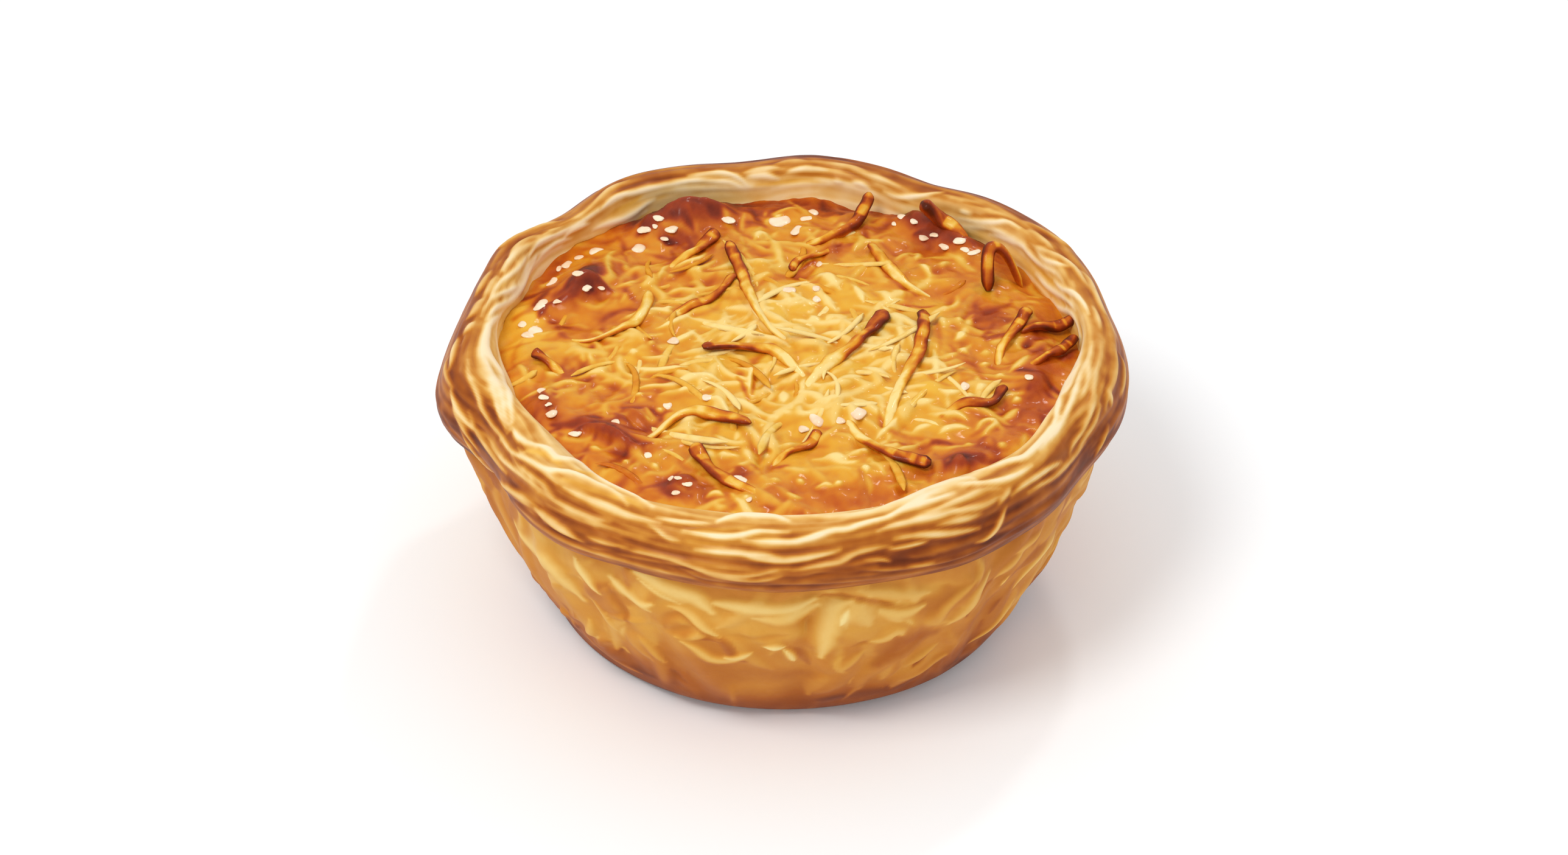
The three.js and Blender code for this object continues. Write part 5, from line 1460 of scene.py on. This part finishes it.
class Finish(Graph):
    """One material and its node tree."""

    def __init__(self, name):
        self.material = bpy.data.materials.new(name)
        self.material.use_nodes = True
        super().__init__(self.material.node_tree)
        self.shader = self.tree.nodes["Principled BSDF"]

    def attribute(self, name):
        return self.node("ShaderNodeAttribute", {"attribute_name": name}, output="Fac")

    def place(self):
        return self.node("ShaderNodeTexCoord", output="Object")

    def noise(self, scale, detail=3, roughness=0.5):
        inputs = {"Vector": self.place(), "Scale": scale, "Detail": detail, "Roughness": roughness}
        return self.node("ShaderNodeTexNoise", {}, inputs)

    def ramp(self, factor, stops):
        return self.node("ShaderNodeValToRGB", {"stops": stops}, {"Fac": factor})

    def blend(self, factor, first, second):
        """A colour between two others."""
        return self.node("ShaderNodeMix", {"data_type": "RGBA"}, {0: factor, 6: first, 7: second}, 2)

    def bump(self, height, strength, distance):
        return self.node("ShaderNodeBump", {}, {"Height": height, "Strength": strength, "Distance": distance})

    def dress(self, **values):
        """Sets the shader's sockets and gives the finished material."""
        for name, value in values.items():
            self.feed(self.shader.inputs[name.replace("_", " ")], value)
        return self.material


# Colours from pale to browned, each after the browning at which it stands
PASTRY_BROWNING = [(0.0, "F9E4BE"), (0.12, "F2D49C"), (0.3, "E2B266"), (0.48, "CA842E"), (0.66, "AA5A14"),
                   (0.84, "823A0A"), (1.0, "602608")]
GOLD_BROWNING = [(0.0, "FAD988"), (0.3, "ECB64A"), (0.5, "D08C2A"), (0.7, "A8601C"), (1.0, "642A12")]
WALL_BROWNING = [(0.0, "F5DA90"), (0.18, "E8BA62"), (0.34, "DA9C3C"), (0.5, "CA8028"), (0.66, "B0601A"),
                 (0.82, "924816"), (1.0, "703212")]
CUSTARD_BROWNING = [(0.0, "E8B43C"), (0.2, "E09E26"), (0.4, "D27A14"), (0.55, "BE5A0C"), (0.7, "9C380A"),
                    (0.85, "72240C"), (1.0, "561A0E")]
STRAND_BROWNING = [(0.0, "F5D88C"), (0.15, "E6B84E"), (0.3, "DA9A2C"), (0.5, "C46C16"), (0.65, "A64810"),
                   (0.8, "88380C"), (1.0, "602408")]
TOASTED_BROWNING = [(0.0, "F5D88C"), (0.15, "EABC50"), (0.3, "E09A24"), (0.5, "CA6A10"), (0.65, "A84408"),
                    (0.8, "842C04"), (1.0, "561C04")]
# Cream colours of the crumbs, partly a painted highlight
CRUMB_GLINT_COLOURS = [(0.35, "F2CBA2"), (0.6, "FDEACB")]


def rim_finish():
    look = Finish("layered_pastry")
    grain = look.noise(900, 4, 0.6)
    patches = look.noise(140, 3)
    # The crest term is painted light and shade: darker in the hollows between layers, lighter on the raised
    # ones
    browning = (look.attribute("browning") + (patches - 0.5) * 0.16 + (grain - 0.5) * 0.08
                - look.attribute("crest") * 0.75)
    pastry = look.ramp(browning, PASTRY_BROWNING)
    gold = look.ramp(browning, GOLD_BROWNING)
    shade = look.blend(look.attribute("gold"), pastry, gold)
    fine = look.bump(grain + patches, 0.15, 0.0002)
    return look.dress(Base_Color=shade, Roughness=0.4 + 0.15 * patches, Specular_IOR_Level=0.16,
                      Coat_Weight=0.05, Coat_Roughness=0.25, Normal=fine)


def wall_finish():
    look = Finish("folded_pastry")
    grain = look.noise(700, 4, 0.6)
    patches = look.noise(120, 3)
    browning = look.attribute("browning") + (patches - 0.5) * 0.16 + (grain - 0.5) * 0.08
    fine = look.bump(grain + patches, 0.25, 0.0003)
    return look.dress(Base_Color=look.ramp(browning, WALL_BROWNING), Roughness=0.5 + 0.15 * patches,
                      Specular_IOR_Level=0.18, Coat_Weight=0.04, Coat_Roughness=0.35, Normal=fine)


def custard_finish():
    look = Finish("browned_custard_and_coconut")
    grain = look.noise(800, 4, 0.6)
    patches = look.noise(260, 3)
    # The crest term is painted light and shade: darker in the hollows among the strands, lighter on their
    # backs
    browning = look.attribute("browning") + (patches - 0.5) * 0.24 - look.attribute("crest") * 0.55
    custard = look.ramp(browning, CUSTARD_BROWNING)
    strand = look.ramp(browning, STRAND_BROWNING)
    shade = look.blend(look.attribute("strand"), custard, strand)
    fine = look.bump(grain + patches * 1.5, 0.35, 0.0004)
    return look.dress(Base_Color=shade, Roughness=0.42 + 0.2 * grain, Specular_IOR_Level=0.16,
                      Coat_Weight=0.2, Coat_Roughness=0.15, Normal=fine)


def shred_finish():
    look = Finish("toasted_coconut")
    grain = look.noise(900, 4, 0.6)
    flecks = look.noise(420, 2)
    browning = look.attribute("browning") + (grain - 0.5) * 0.25 + (flecks - 0.5) * 0.3
    fine = look.bump(grain, 0.3, 0.0003)
    return look.dress(Base_Color=look.ramp(browning, TOASTED_BROWNING), Roughness=0.45 + 0.15 * grain,
                      Specular_IOR_Level=0.1, Coat_Weight=0.15, Coat_Roughness=0.1, Normal=fine)


def crumb_finish():
    look = Finish("wet_coconut_painted_glint")
    grain = look.noise(320, 3, 0.6)
    # The crumbs' cream colour is partly a painted highlight
    return look.dress(Base_Color=look.ramp(grain, CRUMB_GLINT_COLOURS), Roughness=0.3 + 0.1 * grain,
                      Coat_Weight=0.5, Coat_Roughness=0.1)


def strewing_graph(material):
    """A tree of nodes that strews small bowed shreds over a surface and sinks them into it a little."""
    tree = bpy.data.node_groups.new("strewn_shreds", "GeometryNodeTree")
    tree.interface.new_socket("Surface", in_out="INPUT", socket_type="NodeSocketGeometry")
    tree.interface.new_socket("Shreds", in_out="OUTPUT", socket_type="NodeSocketGeometry")
    for name, value in STREWN_SIZES.items():
        kind = "NodeSocketInt" if isinstance(value, int) else "NodeSocketFloat"
        tree.interface.new_socket(name, in_out="INPUT", socket_type=kind)
    graph = Graph(tree)
    given = graph.node("NodeGroupInput")
    length, width, sink = given.also("Length"), given.also("Width"), given.also("Sink")

    def named(name):
        settings = {"data_type": "FLOAT"}
        return graph.node("GeometryNodeInputNamedAttribute", settings, {"Name": name}, "Attribute")

    def vector(x, y, z):
        return graph.node("ShaderNodeCombineXYZ", {}, {0: x, 1: y, 2: z})

    def random(low, high, seed):
        """A random number for each point: sockets 2, 3 and 8 are the lowest, the highest and the seed."""
        inputs = {2: low, 3: high, 8: given.also("Seed") + seed}
        return graph.node("FunctionNodeRandomValue", {"data_type": "FLOAT"}, inputs, 1)

    round_section = {"Resolution": 6, "Radius": width * 0.5}
    profile = graph.node("GeometryNodeCurvePrimitiveCircle", {"mode": "RADIUS"}, round_section)
    along = graph.node("GeometryNodeSplineParameter", output="Factor")
    bent = (along * 2 - 1) * (along * 2 - 1)
    taper = (1.02 - bent * bent) ** 0.5 * (1.15 - along * 0.6)
    shapes = []
    for reach, bow, rise in STREWN_SHAPES:
        half = length * (reach / 2)
        curve = graph.node("GeometryNodeCurveQuadraticBezier", {}, {
            "Resolution": 9, "Start": vector(half * -1, 0, 0), "End": vector(half, 0, 0),
            "Middle": vector(half * 0.3, half * bow, half * rise)})
        shapes.append(graph.node("GeometryNodeCurveToMesh", {}, {
            "Curve": curve, "Profile Curve": profile, "Scale": taper, "Fill Caps": True}))
    kinds = graph.node("GeometryNodeGeometryToInstance", {}, {"Geometry": shapes})
    spots = graph.node("GeometryNodeDistributePointsOnFaces", {"distribute_method": "POISSON"}, {
        "Mesh": given.also("Surface"), "Distance Min": given.also("Spacing"), "Density Max": 3e5,
        "Density Factor": named("pale"), "Seed": given.also("Seed")})
    down = graph.node("ShaderNodeVectorMath", {"operation": "SCALE"}, {
        0: spots.also("Normal"), "Scale": sink * -1})
    sunk = graph.node("GeometryNodeSetPosition", {}, {"Geometry": spots, "Offset": down})
    toned = graph.node("GeometryNodeStoreNamedAttribute", {"data_type": "FLOAT", "domain": "POINT"}, {
        "Geometry": sunk, "Name": "browning", "Value": named("ground_browning") + random(-0.16, 0.06, 1)})
    heading = graph.node("FunctionNodeAxisAngleToRotation", {}, {
        "Axis": (0, 0, 1), "Angle": random(0, TURN, 2)})
    rotation = graph.node("FunctionNodeRotateRotation", {"rotation_space": "LOCAL"}, {
        "Rotation": spots.also("Rotation"), "Rotate By": heading})
    size = random(0.7, 1.25, 3)
    strewn = graph.node("GeometryNodeInstanceOnPoints", {}, {
        "Points": toned, "Instance": kinds, "Pick Instance": True, "Rotation": rotation,
        "Scale": vector(size, size, 0.5)})
    real = graph.node("GeometryNodeRealizeInstances", {}, {"Geometry": strewn})
    dressed = graph.node("GeometryNodeSetMaterial", {}, {"Geometry": real, "Material": material})
    graph.node("NodeGroupOutput", {}, {0: dressed})
    return tree


def strewn_shreds_piece(sheet, material):
    """Small pale shreds, strewn where the custard is pale."""
    unit_x, unit_y = disc_grid(BED_CELLS)
    x, y = unit_x * BED_RADIUS, unit_y * BED_RADIUS
    ground = sheet.sample(sheet.browning, x, y)
    pale = (1 - smooth(0.3, 0.5, ground)) * (1 - 0.85 * smooth(0.45, 0.95, np.hypot(unit_x, unit_y)))
    points = np.stack([x, y, sheet.sample(sheet.blurred(sheet.height, 0.35), x, y)], -1).reshape(-1, 3)
    bed = mesh_object("bed", points, grid_faces(BED_CELLS), {"pale": pale, "ground_browning": ground})
    tree = strewing_graph(material)
    modifier = bed.modifiers.new("strewn_shreds", "NODES")
    modifier.node_group = tree
    for socket in tree.interface.items_tree:
        if socket.name in STREWN_SIZES:
            modifier[socket.identifier] = STREWN_SIZES[socket.name]
    graph = bpy.context.evaluated_depsgraph_get()
    mesh = bpy.data.meshes.new_from_object(bed.evaluated_get(graph))
    mesh.name = "strewn_shreds"
    mesh.shade_smooth()
    bpy.data.objects.remove(bed)
    return linked("strewn_shreds", mesh)


def dress_tart():
    """Makes every piece, gives it its material and puts it in its node's place."""
    filling = filling_sheet()
    toasted = shred_finish()
    pieces = {
        "pastry_case": [(rim_piece(), rim_finish(), "pastry"), (wall_piece(), wall_finish(), "pastry")],
        "coconut_filling": [(filling_piece(filling), custard_finish(), "filling"),
                            (large_shreds_piece(filling), toasted, "filling"),
                            (strewn_shreds_piece(filling, toasted), toasted, "filling"),
                            (crumbs_piece(filling), crumb_finish(), "filling")],
    }
    for node, made in pieces.items():
        for obj, material, slot in made:
            obj.data.materials.clear()
            obj.data.materials.append(material)
            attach(obj, "root")
            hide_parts(node)


def camera():
    data = bpy.data.cameras.new("photo_view")
    data.lens = VIEW_LENS
    data.sensor_width = VIEW_SENSOR
    data.clip_start, data.clip_end = VIEW_CLIP
    view = linked("photo_view", data)
    raise_angle = math.radians(VIEW_ELEVATION)
    view.location = (0, -VIEW_DISTANCE * MM * math.cos(raise_angle),
                     (VIEW_HEIGHT + VIEW_DISTANCE * math.sin(raise_angle)) * MM)
    view.rotation_euler = (math.pi / 2 - raise_angle, 0, 0)
    bpy.context.scene.camera = view


def area_light(name, place, size, power, tint):
    """A round light that faces the tart."""
    data = bpy.data.lights.new(name, "AREA")
    data.shape = "DISK"
    data.size = size
    data.energy = power
    data.color = tint
    light = linked(name, data)
    light.location = place
    away = np.array(place) - np.array([0, 0, VIEW_HEIGHT * MM])
    lean = math.acos(away[2] / np.linalg.norm(away))
    light.rotation_euler = (lean, 0, math.atan2(away[1], away[0]) + math.pi / 2)


def studio():
    world = bpy.data.worlds.new("studio")
    world.use_nodes = True
    world.node_tree.nodes["Background"].inputs["Color"].default_value = (1, 1, 1, 1)
    world.node_tree.nodes["Background"].inputs["Strength"].default_value = SKY_STRENGTH
    bpy.context.scene.world = world
    for row in LIGHTS:
        area_light(*row)
    bpy.context.scene.view_settings.view_transform = "Standard"


def floor():
    half = FLOOR_WIDTH / 2
    corners = [(-half, -half, 0), (half, -half, 0), (half, half, 0), (-half, half, 0)]
    mesh = bpy.data.meshes.new("floor")
    mesh.from_pydata(corners, [], [(0, 1, 2, 3)])
    look = Finish("pale_floor")
    mesh.materials.append(look.dress(Base_Color=FLOOR_COLOUR, Roughness=0.9, Emission_Color=(1, 1, 1, 1),
                                     Emission_Strength=FLOOR_GLOW))
    linked("floor", mesh)


dress_tart()
camera()
studio()
floor()
